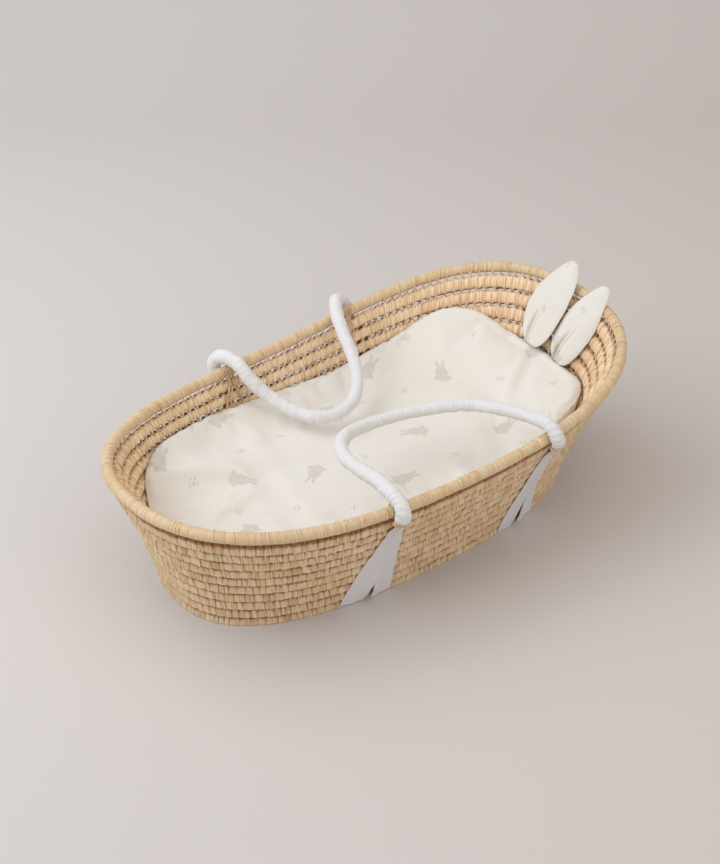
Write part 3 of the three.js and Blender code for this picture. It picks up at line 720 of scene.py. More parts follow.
def catmull(pts, step):
    """points every `step` mm along a smooth curve through pts, and the arc length at each"""
    p = np.asarray(pts, float)
    p = np.vstack([2 * p[0] - p[1], p, 2 * p[-1] - p[-2]])
    out = []
    for i in range(1, len(p) - 2):
        a, b, c, d = p[i - 1], p[i], p[i + 1], p[i + 2]
        ta = np.linalg.norm(b - a) ** 0.5
        tb = ta + np.linalg.norm(c - b) ** 0.5
        tc = tb + np.linalg.norm(d - c) ** 0.5
        t = np.linspace(ta, tb, 40, endpoint=False)[:, None]
        a1 = (ta - t) / ta * a + t / ta * b
        a2 = (tb - t) / (tb - ta) * b + (t - ta) / (tb - ta) * c
        a3 = (tc - t) / (tc - tb) * c + (t - tb) / (tc - tb) * d
        b1 = (tb - t) / tb * a1 + t / tb * a2
        b2 = (tc - t) / (tc - ta) * a2 + (t - ta) / (tc - ta) * a3
        out.append((tb - t) / (tb - ta) * b1 + (t - ta) / (tb - ta) * b2)
    q = np.vstack(out + [p[-2][None]])
    cum = np.r_[0, np.cumsum(np.linalg.norm(np.diff(q, axis=0), axis=1))]
    n = max(2, int(round(cum[-1] / step))) + 1
    s = np.linspace(0, cum[-1], n)
    r = np.stack([np.interp(s, cum, q[:, k]) for k in range(3)], 1)
    return r, s


def smooth_line(p, r):
    if r < 1:
        return p
    k = np.ones(2 * r + 1) / (2 * r + 1)
    pad = np.vstack([2 * p[0] - p[r:0:-1], p, 2 * p[-1] - p[-2:-r - 2:-1]])
    return np.stack([np.convolve(pad[:, i], k, "valid") for i in range(3)], 1)


def transport(p, ref):
    """tangent and two side vectors that turn as little as possible along the line"""
    t = np.gradient(p, axis=0)
    t /= np.linalg.norm(t, axis=1)[:, None]
    e = np.asarray(ref, float)
    E1 = np.empty_like(p)
    for i in range(len(p)):
        e = e - t[i] * (e @ t[i])
        e /= np.linalg.norm(e)
        E1[i] = e
    return t, E1, np.cross(t, E1)


def noise2(rng, s, a, cells_s, cells_a, amp=1.0):
    """smooth noise over arc s (0..1) and angle a (0..2 pi), periodic in the angle"""
    g = rng.uniform(-1, 1, (cells_s + 2, cells_a))
    x = np.clip(s, 0, 1) * cells_s
    y = (a / (2 * np.pi)) * cells_a
    i, j = np.floor(x).astype(int), np.floor(y).astype(int)
    fx, fy = x - i, y - j
    fx, fy = fx * fx * (3 - 2 * fx), fy * fy * (3 - 2 * fy)
    j0, j1 = j % cells_a, (j + 1) % cells_a
    return amp * ((g[i, j0] * (1 - fx) + g[i + 1, j0] * fx) * (1 - fy) + (g[i, j1] * (1 - fx) + g[i + 1, j1] * fx) * fy)


def grid_faces(rows, cols, wrap=False):
    j, i = np.meshgrid(np.arange(rows - 1), np.arange(cols if wrap else cols - 1), indexing="ij")
    a = j * cols + i
    b = j * cols + (i + 1) % cols
    return np.stack([a, b, b + cols, a + cols], -1).reshape(-1, 4)


def grid_uv(rows, cols, u, v, wrap=False):
    j, i = np.meshgrid(np.arange(rows - 1), np.arange(cols if wrap else cols - 1), indexing="ij")
    U = np.stack([u[i], u[i + 1], u[i + 1], u[i]], -1)
    V = np.stack([v[j], v[j], v[j + 1], v[j + 1]], -1)
    return np.stack([U, V], -1).reshape(-1, 2)


def tube(name, pts, radius, body="basket", material=None, step=1.2, around=10, seed=1, attrs=True, smooth=0):
    p, s = catmull(pts, step)
    p = smooth_line(p, smooth)
    ref = (0.3, 0.2, 1) if abs((p[1] - p[0])[2]) < 0.7 * np.linalg.norm(p[1] - p[0]) else (1, 0.1, 0)
    t, e1, e2 = transport(p, ref)
    rng = np.random.default_rng(seed)
    a = np.arange(around) / around * 2 * np.pi
    S, A = np.meshgrid(s / s[-1], a, indexing="ij")
    r = radius * (1 + noise2(rng, S, A, max(2, len(s) // 8), 4, 0.13) + 0.1 * np.sin(2 * A + S * s[-1] / 5.0))
    end = np.minimum(s, s[-1] - s)
    r *= np.clip(np.sqrt(np.clip(end / (radius * 0.8), 0.02, 1)), 0.15, 1)[:, None]
    v = p[:, None] + r[..., None] * (np.cos(A)[..., None] * e1[:, None] + np.sin(A)[..., None] * e2[:, None])
    at = dict(tint=np.clip(0.5 + noise2(rng, S, A, max(2, len(s) // 10), 3, 0.5), 0, 1), warm=np.full(A.shape, 0.08), painted_shade=np.zeros(A.shape)) if attrs else None
    return make_mesh(name, v.reshape(-1, 3), grid_faces(len(s), around, True), at, grid_uv(len(s), around, np.arange(around + 1) * (2 * np.pi * radius / around) * MM * 1.0, s * MM, True),
                     body=body, material=material)


def on_wall(x, v, side, n):
    """a point on the wall at basket x and height share v, n mm outside its middle; side -1 front, 1 rear"""
    p, t, nrm, up, _ = W.frame(v)
    ok = np.where((p[:, 1] * side > 0))[0]
    k = ok[np.argmin(np.abs(p[ok, 0] - x))]
    q = p[k] + nrm[k] * n
    return q + t[k] * ((x - p[k, 0]) / t[k, 0] if abs(t[k, 0]) > 0.2 else 0), nrm[k], up[k], t[k]


def build_handle(name, key, path, seed):
    L, R = NECKS[f"{key}_left"], NECKS[f"{key}_right"]
    side = -1 if key == "front" else 1
    full = L + path + R[::-1]
    p, s = catmull(full, 0.9)
    p = smooth_line(p, 9)
    # start a little below the ties, hidden by the straps
    ln = len(p)
    t, e1, e2 = transport(p, (1, 0, 0))
    n = 64
    rng = np.random.default_rng(seed)
    a = np.arange(n) / n * 2 * np.pi
    S, A = np.meshgrid(s, a, indexing="ij")
    U = S / s[-1]
    curv = np.linalg.norm(np.gradient(np.gradient(p, axis=0), axis=0), axis=1) / 0.81
    kv = np.gradient(t, axis=0)
    kdir = kv / (np.linalg.norm(kv, axis=1)[:, None] + 1e-9)
    around = np.cos(A)[..., None] * e1[:, None] + np.sin(A)[..., None] * e2[:, None]
    inner = np.clip(np.einsum("ijk,ik->ij", around, kdir), 0, 1)
    # a puckered seam underneath, and soft diagonal folds of the sleeve over its rope
    down = around @ np.array([0.0, 0.35 * -side, -1.0])
    seam_w = smoothstep(0.45, 0.98, down)
    phase = noise2(rng, U, A, 40, 3, 1.6)
    u1 = s / s[-1]
    rad = np.interp(u1, *(([0, 0.1, 0.35, 0.55, 0.8, 0.92, 1], [10.6, 10.6, 10.2, 8.9, 8.8, 9.6, 10.0]) if key == "front" else ([0, 0.12, 0.3, 0.6, 0.85, 1], [10.8, 10.7, 10.2, 9.6, 10.0, 10.6])))
    r = rad[:, None] + 0 * A
    near_end = np.exp(-np.minimum(S, s[-1] - S) / 60.0)
    r += np.sin(2 * np.pi * S / 7.0 + 2.0 * A + phase * 1.3) * (0.16 + 0.75 * seam_w + (0.5 if key == 'front' else 0.2) * near_end)
    r += 0.34 * np.sin(2 * np.pi * S / 19.0 - 1.0 * A + phase) * 0.8
    r += noise2(rng, U, A, 60, 5, 0.5) + noise2(rng, U, A, 22, 3, 0.7)
    wr = np.clip(curv * 28, 0, 1)[:, None] * inner
    r += wr * (0.75 * np.sin(2 * np.pi * S / 8.6 + 1.4 * phase) - 0.5)
    r -= 0.9 * smoothstep(0.86, 1.0, down)
    # gathers where a twine closes the sleeve at each end
    for e_s in (0.0, s[-1]):
        d = np.abs(S - e_s)
        g = np.exp(-np.clip(d - 3, 0, None) / 10.0)
        r += g * 0.95 * np.sin(9 * A + 0.35 * np.sin(A * 2 + 1) + e_s)
        pinch = 1 - (0.14 if key == "front" else 0.32) * np.exp(-(np.clip(d - 2, 0, None) / 6.0) ** 1.6)
        r *= pinch
    off = r[..., None] * around
    # flat against the wall at the ties
    nn = np.array([0.0, side * 0.93, -0.36])
    for e_s in (0.0, s[-1]):
        d = np.abs(S - e_s)
        k = 0.52 * np.exp(-(np.clip(d - 3, 0, None) / 8.0) ** 1.7)
        off -= (k * (off @ nn))[..., None] * nn
    v = (p[:, None] + off).reshape(-1, 3)
    hand = make_mesh(name, v, grid_faces(len(s), n, True), None, grid_uv(len(s), n, np.arange(n + 1) * (2 * np.pi * 11 / n) * MM, s * MM, True), body=None, material=HANDLE)
    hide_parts(f"{key}_handle_sleeve", f"{key}_handle_rope", f"{key}_left_handle_neck", f"{key}_right_handle_neck")
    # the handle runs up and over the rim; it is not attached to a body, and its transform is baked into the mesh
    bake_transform(hand)
    return hand


HANDLE = fabric_material("handle_cotton", srgb(251, 250, 250), srgb(235, 234, 235), weave=5200, coords="UV", bump_mm=0.00035)
build_handle("rear_handle_cloth", "rear", REAR_PATH, 21)
build_handle("front_handle_cloth", "front", FRONT_PATH, 22)


# ------------------------------------------------------------------ the cloth straps under the basket
def build_strap(key, seed, crumple):
    rng = np.random.default_rng(seed)
    xc = STRAP_X[key]
    C = 44
    cc = np.linspace(-0.5, 0.5, C + 1)
    slit_at = 0.02 if not crumple else -0.04
    ks = int(np.argmin(np.abs(cc - slit_at)))
    cols = np.r_[cc[:ks + 1], cc[ks:]]          # the slit's column twice
    legs = np.r_[np.zeros(ks + 1), np.ones(C + 1 - ks)]
    rows_xyz, qs = [], []

    def wall_rows(side, tie):
        tx, tv, _ = tie
        out = []
        tv = tv + (0.105 if side < 0 else 0.012)
        vs = np.linspace(tv, 0.035, 100)
        e1 = noise1(rng, 400, 22, 1.0)
        e2 = noise1(rng, 400, 22, 1.0)
        fold = [noise1(rng, 400, 9, 1.0) for _ in range(4)]
        for v in vs:
            q = (tv - v) / (tv - 0.035)
            q = np.clip(q, 0, 1)
            w = np.interp(q, [0, 0.06, 0.10, 0.17, 0.29, 0.48, 0.7, 0.88, 1], [14, 17, 20.5, 25, 35, 49, 64, 75, 81] if not crumple else [13, 16, 19, 22, 28, 38, 54, 69, 77])
            cx = tx + (xc - tx) * q ** 1.1 + ((7.0 if not crumple else 5.0) if side < 0 else 0.0) * (1 - q) ** 2.5 - (4.0 if side < 0 else 0.0) * math.exp(-(q / 0.05) ** 2) + (4.6 if side < 0 and not crumple else 0.0) * math.sin(math.pi * q ** 0.9)
            k = int(q * 170)
            left = cx - w / 2 + e1[k] * (1.3 if not crumple else 3.0) * math.sin(math.pi * min(1, q * 1.25)) ** 0.5
            right = cx + w / 2 + e2[k] * (1.1 if not crumple else 2.6) * math.sin(math.pi * min(1, q * 1.25)) ** 0.5
            mid = slit_at + 0.5
            x = left + (right - left) * (cols + 0.5)
            # the slit opens towards the floor
            open_ = smoothstep(0.80 if not crumple else 0.68, 1.0, q) * (11.0 if not crumple else 11.5)
            near = np.exp(-np.abs(cols - slit_at) / 0.22)
            x = x + np.where(legs > 0, 1, -1) * near * open_ * np.where(legs > 0, 0.35, 0.75)
            n = 9.6 + 0 * x
            gat = math.exp(-q / 0.16)
            n += gat * (1.7 * np.sin(2 * np.pi * cols * 5.2 + 0.8) + 1.7)
            n += (1 - gat) * (0.75 * np.sin(2 * np.pi * (cols * 1.6 + 0.18 * fold[0][k]) + 1.0) + 0.55 * np.sin(2 * np.pi * (cols * 3.1 + 0.22 * fold[1][k])) + 1.1) * (1.0 if not crumple else 1.9)
            n += (0.35 if not crumple else 1.0) * fold[2][k] * np.cos(3 * cols)
            n += 2.2 * smoothstep(0.5, 0.9, q) * np.exp(-((cols - slit_at) / 0.10) ** 2) * (1 - smoothstep(0.93, 1.0, q))
            n = np.maximum(n, 9.2)
            hug = np.abs(2 * cols) ** 5
            n = n * (1 - hug) + 8.0 * hug
            # the top leaves the wall and runs up into the twine round the neck
            n = n + (5.5 if side < 0 else 0.0) * (1 - smoothstep(0.0, 0.16, q))
            p, t, nrm, up, _ = W.frame(v)
            ok = np.where(p[:, 1] * side > 0)[0]
            o = np.argsort(p[ok, 0])
            px = p[ok, 0][o]
            P = np.stack([np.interp(x, px, p[ok][o][:, a]) for a in range(3)], 1)
            Nn = np.stack([np.interp(x, px, nrm[ok][o][:, a]) for a in range(3)], 1)
            Nn /= np.linalg.norm(Nn, axis=1)[:, None]
            P = P + Nn * n[:, None]
            out.append(P)
        return out

    front = wall_rows(-1, TIE[f"front_{key}"])
    rear = wall_rows(1, TIE[f"rear_{key}"])
    # round the lower edge and across under the base
    rows = list(front)

    def corner(last, side):
        pts = []
        y1 = last[:, 1]
        for dy, z in ((0.6, 4.6), (1.6, 2.9), (3.4, 1.6), (6.5, 1.05), (11, 0.95)):
            r = last.copy()
            r[:, 1] = y1 - side * dy * np.ones(len(y1))
            r[:, 2] = z
            pts.append(r)
        return pts

    cf = corner(front[-1], -1)
    cr = corner(rear[-1], 1)
    rows += cf
    a, b = cf[-1], cr[-1]
    m = 60
    for j in range(1, m):
        f = j / m
        r = a * (1 - f) + b * f
        r[:, 2] = 0.95
        # legs close up under the base
        rows.append(r)
    rows += cr[::-1]
    rows += rear[::-1]
    R = np.array(rows)
    nr, nc = R.shape[:2]
    V = R.reshape(-1, 3)
    F = grid_faces(nr, nc)
    col = np.tile(np.arange(nc - 1), nr - 1)
    seg = np.linalg.norm(np.diff(R[:, nc // 2], axis=0), axis=1)
    UV = grid_uv(nr, nc, np.r_[cc[:ks + 1], cc[ks:]] * 0.078, np.r_[0, np.cumsum(seg)] * MM).reshape(-1, 4, 2)
    keep = col != ks
    F, UV = F[keep], UV[keep].reshape(-1, 2)
    # join the two legs wherever the slit is closed
    same = np.arange(len(V))
    RR = R[:, ks], R[:, ks + 1]
    closed = np.linalg.norm(RR[0] - RR[1], axis=1) < 0.02
    for r in np.where(closed)[0]:
        same[r * nc + ks + 1] = r * nc + ks
    F = same[F]
    used, inv = np.unique(F, return_inverse=True)
    o = make_mesh(f"{key}_strap", V[used], inv.reshape(F.shape), None, UV, material=STRAP)
    m = o.modifiers.new("cloth", "SOLIDIFY")
    m.thickness = 0.0009
    m.offset = 0
    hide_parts(f"{key}_under_strap")
    return o


STRAP = fabric_material("strap_cotton", srgb(240, 238, 239), srgb(222, 220, 222), weave=4200, coords="UV", bump_mm=0.0003)
build_strap("left", 31, False)
build_strap("right", 32, True)


# ------------------------------------------------------------------ twine
def build_ties():
    for name, (tx, tv, side) in TIE.items():
        rng = np.random.default_rng({"front_left": 41, "front_right": 42, "rear_left": 43, "rear_right": 44}[name])
        c, nrm, up, t = on_wall(tx + 2.0, tv, side, 8 + 4.6)
        c = c + up * 2.2
        ce, cn = 11.2, 5.6
        if side < 0:                            # round the lower end of the neck
            neck = np.array(NECKS[name], float)
            up = (neck[1] - neck[0]) / np.linalg.norm(neck[1] - neck[0])
            nrm = np.array([0.0, side * 0.93, -0.36])
            nrm -= up * (nrm @ up)
            nrm /= np.linalg.norm(nrm)
            c = neck[0] + up * 3.2
            ce, cn = 10.4, 6.3
        e = np.array([1.0, 0, 0])
        e = e - nrm * (e @ nrm) - up * (e @ up)
        e /= np.linalg.norm(e)
        pts = []
        turns = 3.6
        for k in range(int(turns * 16) + 1):
            a = 2 * math.pi * k / 16 + (2.2 if side < 0 else 0.4)
            f = k / (turns * 16)
            wob = rng.uniform(-0.25, 0.25)
            pts.append(c + e * math.cos(a) * (ce + wob) + nrm * math.sin(a) * (cn + wob) + up * ((f - 0.5) * 6.6 + 1.3 * math.sin(a + 0.5)))
        o = tube(f"{name}_twine", pts, 1.05, material=TWINE, step=0.8, around=8, seed=51)
        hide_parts(f"{name}_tie")
        # the knot's loose ends
        for q, (dx, dn, du) in enumerate(((-13, 1.5, 3.0), (-9, 3.0, -4.0)) if side < 0 else ((11, 1.5, 2.0), (-10, 2.0, -3.0))):
            a0 = c - e * 7.0 * (1 if dx < 0 else -1) + nrm * 3.6 + up * (1.2 - 2.2 * q)
            pts = [a0, a0 + e * dx * 0.3 + nrm * dn + up * du * 0.2, a0 + e * dx * 0.7 + nrm * dn * 0.6 + up * du * 0.7, a0 + e * dx + nrm * 0.4 + up * du]
            o2 = tube(f"{name}_twine_end_{q + 1}", pts, 0.75, material=TWINE, step=0.7, around=7, seed=52 + q)
        # strands down the inside that hold the tie to the braid
        v0 = tv + 0.03
        ins = {
            "rear_left": [[(-6, 1.0), (-3, .965), (2, .93), (5, .88)], [(3, 1.0), (1, .965), (-1, .93), (-5, .88), (-12, .82), (-17, .75)], [(5, .88), (7, .86), (12, .80), (14, .765)], [(-2, .95), (0, .88), (-8, .80), (-9, .76)]],
            "rear_right": [[(-16, 1.0), (-20, .96), (-24, .92), (-26, .87)], [(-12, 1.0), (-19, .97), (-27, .93), (-24, .87), (-22, .82), (-26, .765)], [(-22, .97), (-16, .90), (-20, .84), (-24, .80)]],
            "front_left": [[(-6, 1.0), (-2, .96), (3, .92), (5, .87)], [(4, 1.0), (1, .96), (-3, .92), (-6, .86), (-8, .80)], [(5, .88), (7, .84), (9, .79)]],
            "front_right": [[(-6, 1.0), (-2, .96), (3, .92), (5, .87)], [(4, 1.0), (1, .96), (-3, .92), (-6, .86), (-8, .80)], [(5, .88), (7, .84), (9, .79)]],
        }[name]
        first = None
        for q, line in enumerate(ins):
            pts = []
            for j, (dx, v) in enumerate(line):
                off = -(10.2 if v < 0.985 else 9.6) - (0.7 * q)
                w, *_ = on_wall(tx + dx, v, side, off)
                pts.append(w)
            w, wn, wu, _ = on_wall(tx + line[-1][0], line[-1][1] - 0.012, side, -5.0)
            pts.append(w)
            w, wn, wu, _ = on_wall(tx + line[0][0] * 0.9, 1.03, side, -9.0 - 0.5 * q)
            pts.insert(0, w)
            o3 = tube(f"{name}_strand_{q + 1}", pts, 1.25, material=TWINE, step=0.9, around=8, seed=60 + q, smooth=2)
            first = first or o3
        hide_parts(f"{name}_lashing")


build_ties()

# ------------------------------------------------------------------ mattress cover
MAT_TOP, MAT_BOTTOM, MAT_SIDE, MAT_CLEAR, COVER_T = 112.0, 46.0, 58.0, 2.2, 1.3
EDGE_REAR = np.array([[-420, 100], [-345, 101], [-333, 114], [-323, 130], [-310, 140], [-290, 146], [-270, 152], [-250, 153], [-216, 149], [-176, 147], [-128, 142], [-52, 136], [5, 133],
                      [64, 132], [115, 140], [150, 147], [184, 154], [223, 170], [250, 181], [275, 184], [298, 183], [325, 176], [341, 164], [353, 154], [420, 147]], float)
EDGE_FRONT = np.array([[-420, 100], [-345, 104], [-300, 118], [-242, 128], [-127, 130], [5, 127], [107, 129], [185, 134], [261, 139], [307, 146], [325, 151], [341, 154], [356, 147], [420, 147]], float)


def pull_cloth(V, nr, n, first, top0):
    """Let the cover's cloth, cut a little larger than the pad, settle by a cloth simulation; returns the moved vertices."""
    rows = list(range(first, top0, 1)) + list(range(top0, nr, 2))
    cols = np.arange(0, n, 2)
    G = V[:nr * n].reshape(nr, n, 3)
    S = G[rows][:, cols]
    a, b = S.shape[:2]
    me = bpy.data.meshes.new("cover_sim")
    me.from_pydata([tuple(x) for x in S.reshape(-1, 3) * MM], [], [tuple(int(i) for i in f) for f in ring_faces(a, b, False)])
    o = bpy.data.objects.new("cover_sim", me)
    bpy.context.scene.collection.objects.link(o)
    vg = o.vertex_groups.new(name="held")
    k0 = rows.index(top0)
    for j in range(a):
        w = 1.0 if j < k0 - 5 else float(np.interp(j, [k0 - 5, k0, k0 + 6, a - 26, a - 12, a - 1], [0.9, 0.25, 0.05, 0.06, 0.5, 1.0]))
        vg.add([int(i) for i in range(j * b, (j + 1) * b)], w, "REPLACE")
    mod = o.modifiers.new("cloth", "CLOTH")
    c = mod.settings
    c.quality = 5
    c.mass = 0.2
    c.tension_stiffness = c.compression_stiffness = 18
    c.shear_stiffness = 6
    c.bending_stiffness = CLOTH_BEND
    c.air_damping = 2.0
    c.vertex_group_mass = "held"
    c.pin_stiffness = CLOTH_PIN
    c.shrink_min = -CLOTH_EASE
    c.effector_weights.gravity = 0.0
    mod.point_cache.frame_start = 1
    mod.point_cache.frame_end = 24
    sc = bpy.context.scene
    sc.frame_start, sc.frame_end = 1, 24
    for f in range(1, 21):
        sc.frame_set(f)
    dg = bpy.context.evaluated_depsgraph_get()
    em = o.evaluated_get(dg).to_mesh()
    co = np.empty(len(em.vertices) * 3)
    em.vertices.foreach_get("co", co)
    D = co.reshape(a, b, 3) / MM - S
    o.evaluated_get(dg).to_mesh_clear()
    sc.frame_set(1)
    bpy.data.objects.remove(o)
    # the grid's rings run together in the middle: even the movement out round each ring there
    for j in range(k0, a):
        f = (a - j) / (a - k0)
        h = int(0.018 * b / max(f, 0.03) ** 1.3)
        if f < 0.62 and h > 0:
            h = min(h, b // 2 - 1)
            ker = np.ones(2 * h + 1) / (2 * h + 1)
            ext = np.concatenate([D[j, -h:], D[j], D[j, :h]])
            D[j] = np.stack([np.convolve(ext[:, q], ker, "valid") for q in range(3)], 1)
    for _ in range(3):
        D[k0 + 2:-1] = D[k0 + 2:-1] * 0.5 + (D[k0 + 1:-2] + D[k0 + 3:]) * 0.25
    L = np.linalg.norm(D, axis=2, keepdims=True)
    print("cover cloth moved, mm: mean %.2f max %.2f" % (L.mean(), L.max()))
    D = D * np.minimum(1, 8.0 / np.maximum(L, 1e-6))
    # back to the full grid
    full = np.zeros((nr, n, 3))
    rr = np.arange(first, nr)
    fi = np.interp(rr, rows, np.arange(a))
    i0 = np.minimum(fi.astype(int), a - 2)
    fr = (fi - i0)[:, None, None]
    Dr = D[i0] * (1 - fr) + D[i0 + 1] * fr
    full[first:, ::2] = Dr
    full[first:, 1::2] = (Dr + np.roll(Dr, -1, axis=1)) / 2
    out = V.copy()
    out[:nr * n] += full.reshape(-1, 3)
    return out


CLOTH_EASE, CLOTH_BEND, CLOTH_PIN = 0.024, 1.5, 0.3


def build_cover():
    n = 480
    w = Wall(n)
    deg = np.degrees(w.t) % 360
    # at the head end's front corner the pad stands a little off the wall, and its side shows
    inset = np.interp(deg, [0, 289, 296, 303, 311, 318, 325, 331, 360], [0, 0, 8, 16, 18, 11, 3, 0, 0])
    x = w.rim[:, 0] * 0.9
    sd = np.clip(w.rim[:, 1] / 60, -1, 1)
    edge = np.interp(x, EDGE_REAR[:, 0], EDGE_REAR[:, 1]) * (0.5 + sd / 2) + np.interp(x, EDGE_FRONT[:, 0], EDGE_FRONT[:, 1]) * (0.5 - sd / 2)
    edge = smooth_ring(edge, 5) + 2.0

    def inner(z, clear):
        v = np.clip((z - WALL_Z0) / (w.H - WALL_Z0), 0.02, 1)
        q = v ** WALL_P
        mid = w.foot * (1 - q)[:, None] + w.rim * q[:, None]
        t = smooth_ring(np.roll(mid, -1, 0) - np.roll(mid, 1, 0), 3)
        t /= np.linalg.norm(t, axis=1)[:, None]
        return mid - np.stack([t[:, 1], -t[:, 0]], 1) * np.broadcast_to(WALL_T / 2 + clear, (n,))[:, None]

    C = np.array([-2.0, 0.0])
    rings = []
    inset = smooth_ring(inset, 4)
    for f in (0.15, 0.3, 0.45, 0.6, 0.75, 0.85, 0.93, 1.0):
        zb = edge - MAT_SIDE
        e = inner(zb, MAT_CLEAR + 10)
        rings.append(np.c_[C + (e - C) * f, MAT_BOTTOM + (zb - MAT_BOTTOM) * f ** 2])
    nb = len(rings)
    for z, cl in ((-MAT_SIDE + 2, 6), (-MAT_SIDE + 6, 3.6), (-MAT_SIDE + 12, 2.0), (-MAT_SIDE + 20, 1.2), (-32, 0.7), (-24, 0.5), (-16, 0.5), (-11, 0.6), (-7.6, 0.9), (-5.2, 1.5), (-3.4, 2.5), (-2.1, 4.0),
                  (-1.1, 6.2), (-0.4, 9.5)):
        f = smoothstep(-30, -3, z)
        rings.append(np.c_[inner(edge + z, MAT_CLEAR + cl + inset * f), edge + z])
    er = inner(edge, MAT_CLEAR + 14.0 + inset)
    for f in np.linspace(0.995, 0.02, 90):
        q = f ** 2.4
        rings.append(np.c_[C + (er - C) * f, MAT_TOP + (edge - MAT_TOP) * q])
    R = np.array(rings)
    nr = len(R)
    top0 = nb + 14
    V = R.reshape(-1, 3).copy()
    # soft pulls in the cover's top
    X, Y = V[:, 0], V[:, 1]
    tops = np.zeros(len(V))
    wt = np.ones(nr)
    wt[:nb + 2] = 0
    wt[nb + 2:top0] = np.linspace(0, 1, top0 - nb - 2)
    WT = np.repeat(wt, n)

    def crease(x0, y0, x1, y1, h, wd, side=0.0):
        d = np.array([x1 - x0, y1 - y0], float)
        L = np.linalg.norm(d)
        d /= L
        u = (X - x0) * d[0] + (Y - y0) * d[1]
        c = -(X - x0) * d[1] + (Y - y0) * d[0]
        end = smoothstep(-0.25 * L, 0.15 * L, u) * (1 - smoothstep(0.85 * L, 1.25 * L, u))
        return h * end * np.exp(-(c / wd) ** 2) - side * h * end * np.exp(-((c - 1.6 * wd) / wd) ** 2)

    for args in CREASES:
        tops += crease(*args)
    rng = np.random.default_rng(8)
    gx, gy = (X + 400) / 800, (Y + 220) / 440

    def field(cx, cy, amp):
        g = rng.uniform(-1, 1, (cx + 2, cy + 2))
        u, v = np.clip(gx, 0, 0.999) * cx, np.clip(gy, 0, 0.999) * cy
        i, j = u.astype(int), v.astype(int)
        fu, fv = u - i, v - j
        fu, fv = fu * fu * (3 - 2 * fu), fv * fv * (3 - 2 * fv)
        return amp * ((g[i, j] * (1 - fu) + g[i + 1, j] * fu) * (1 - fv) + (g[i, j + 1] * (1 - fu) + g[i + 1, j + 1] * fu) * fv)

    tops += field(6, 4, 1.5) + field(14, 8, 0.55)
    V[:, 2] += tops * WT
    V = pull_cloth(V, nr, n, nb + 2, top0)
    ctr = len(V)
    V = np.vstack([V, [[C[0], C[1], MAT_TOP + float(tops[-n:].mean())], [C[0], C[1], MAT_BOTTOM]]])
    F = ring_faces(nr, n, False)
    tri1 = np.stack([(nr - 1) * n + np.arange(n), (nr - 1) * n + (np.arange(n) + 1) % n, np.full(n, ctr), np.full(n, ctr)], 1)
    tri2 = np.stack([(np.arange(n) + 1) % n, np.arange(n), np.full(n, ctr + 1), np.full(n, ctr + 1)], 1)
    me_faces = [tuple(f) for f in F] + [tuple(f[:3]) for f in tri1] + [tuple(f[:3]) for f in tri2]
    me = bpy.data.meshes.new("cover")
    me.from_pydata([tuple(p) for p in (V + SHIFT) * MM], [], me_faces)
    me.polygons.foreach_set("use_smooth", np.ones(len(me.polygons), bool))
    me.materials.append(COVER)
    # the pattern lies flat on the top and runs over the edge: arc length outwards from the top's border
    flat = np.array(R[:, :, :2])
    for j in range(top0 - 1, -1, -1):
        d = np.linalg.norm(R[j] - R[j + 1], axis=1)
        o2 = R[top0 + 1, :, :2] - C
        flat[j] = flat[j + 1] + o2 / np.linalg.norm(o2, axis=1)[:, None] * d[:, None]
    flat = np.vstack([flat.reshape(-1, 2), [C, C]])
    motif_layers(me, flat)
    o = bpy.data.objects.new("cover_cloth", me)
    bpy.context.scene.collection.objects.link(o)
    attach(o, "basket")
    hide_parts("mattress_cover", "mattress")
    return o


CREASES = [
    (-330, 120, -200, 60, 2.2, 9, 0.5), (-338, 60, -230, 20, 2.0, 10, 0.5), (-300, -20, -215, 40, 1.6, 8, 0.4), (-330, 0, -250, 5, 1.5, 9, 0.4),
    (-130, 120, -160, -80, 1.3, 16, 0.6), (-60, 100, -20, 150, 1.0, 9, 0.3), (150, 120, 240, 60, 1.4, 12, 0.4), (330, 30, 240, -30, 1.6, 10, 0.5),
]


# motifs on the cloth, in metres of the flat pattern: x, y, and the direction it points in, in degrees
RABBITS = [(-0.289, 0.1221, 42), (-0.2035, 0.0458, -34), (-0.1019, 0.0021, -144), (0.0086, 0.1101, -76), (0.1125, 0.1556, 26), (0.2, 0.0791, 59), (0.0813, -0.0052, 151), (-0.0104, -0.0906, -1), (0.1917, -0.0792, 13), (0.3417, 0.0145, -54), (-0.26, -0.06, 200), (-0.32, 0, 95), (0.272, -0.165, 20), (0.345, -0.095, 250), (-0.16, 0.165, 10), (0.1, -0.155, 190), (-0.12, -0.15, 60), (2.996, 0.006, 50), (1.98, -0.06, 250), (3.285, 0.06, 80), (2.29, 0.08, 95)]
SPRIGS = [(-0.2652, 0.0755, 0), (-0.2145, 0.1585, 67), (-0.092, 0.1021, 134), (-0.1083, -0.1004, 201), (-0.0207, -0.0086, 268), (0.198, 0.1666, 335), (0.2823, 0.0999, 42), (0.2619, 0.0102, 109), (0.3064, -0.0651, 176), (0.1273, 0.0832, 243), (0.0876, -0.0894, 310), (-0.1665, 0.0965, 17), (-0.1698, -0.0525, 84), (0.061, 0.1028, 151), (0.2508, -0.116, 218), (0.1723, -0.1425, 285), (-0.335, 0.06, 352), (-0.24, -0.01, 59), (-0.03, 0.175, 126), (0.02, 0.04, 193), (-0.2, -0.125, 260), (0, -0.165, 327), (1.9909, 0.0555, 34), (2.0023, 0.1377, 101), (2.9961, 0.0927, 168), (2.3, 0.03, 235), (3.29, 0.11, 302)]


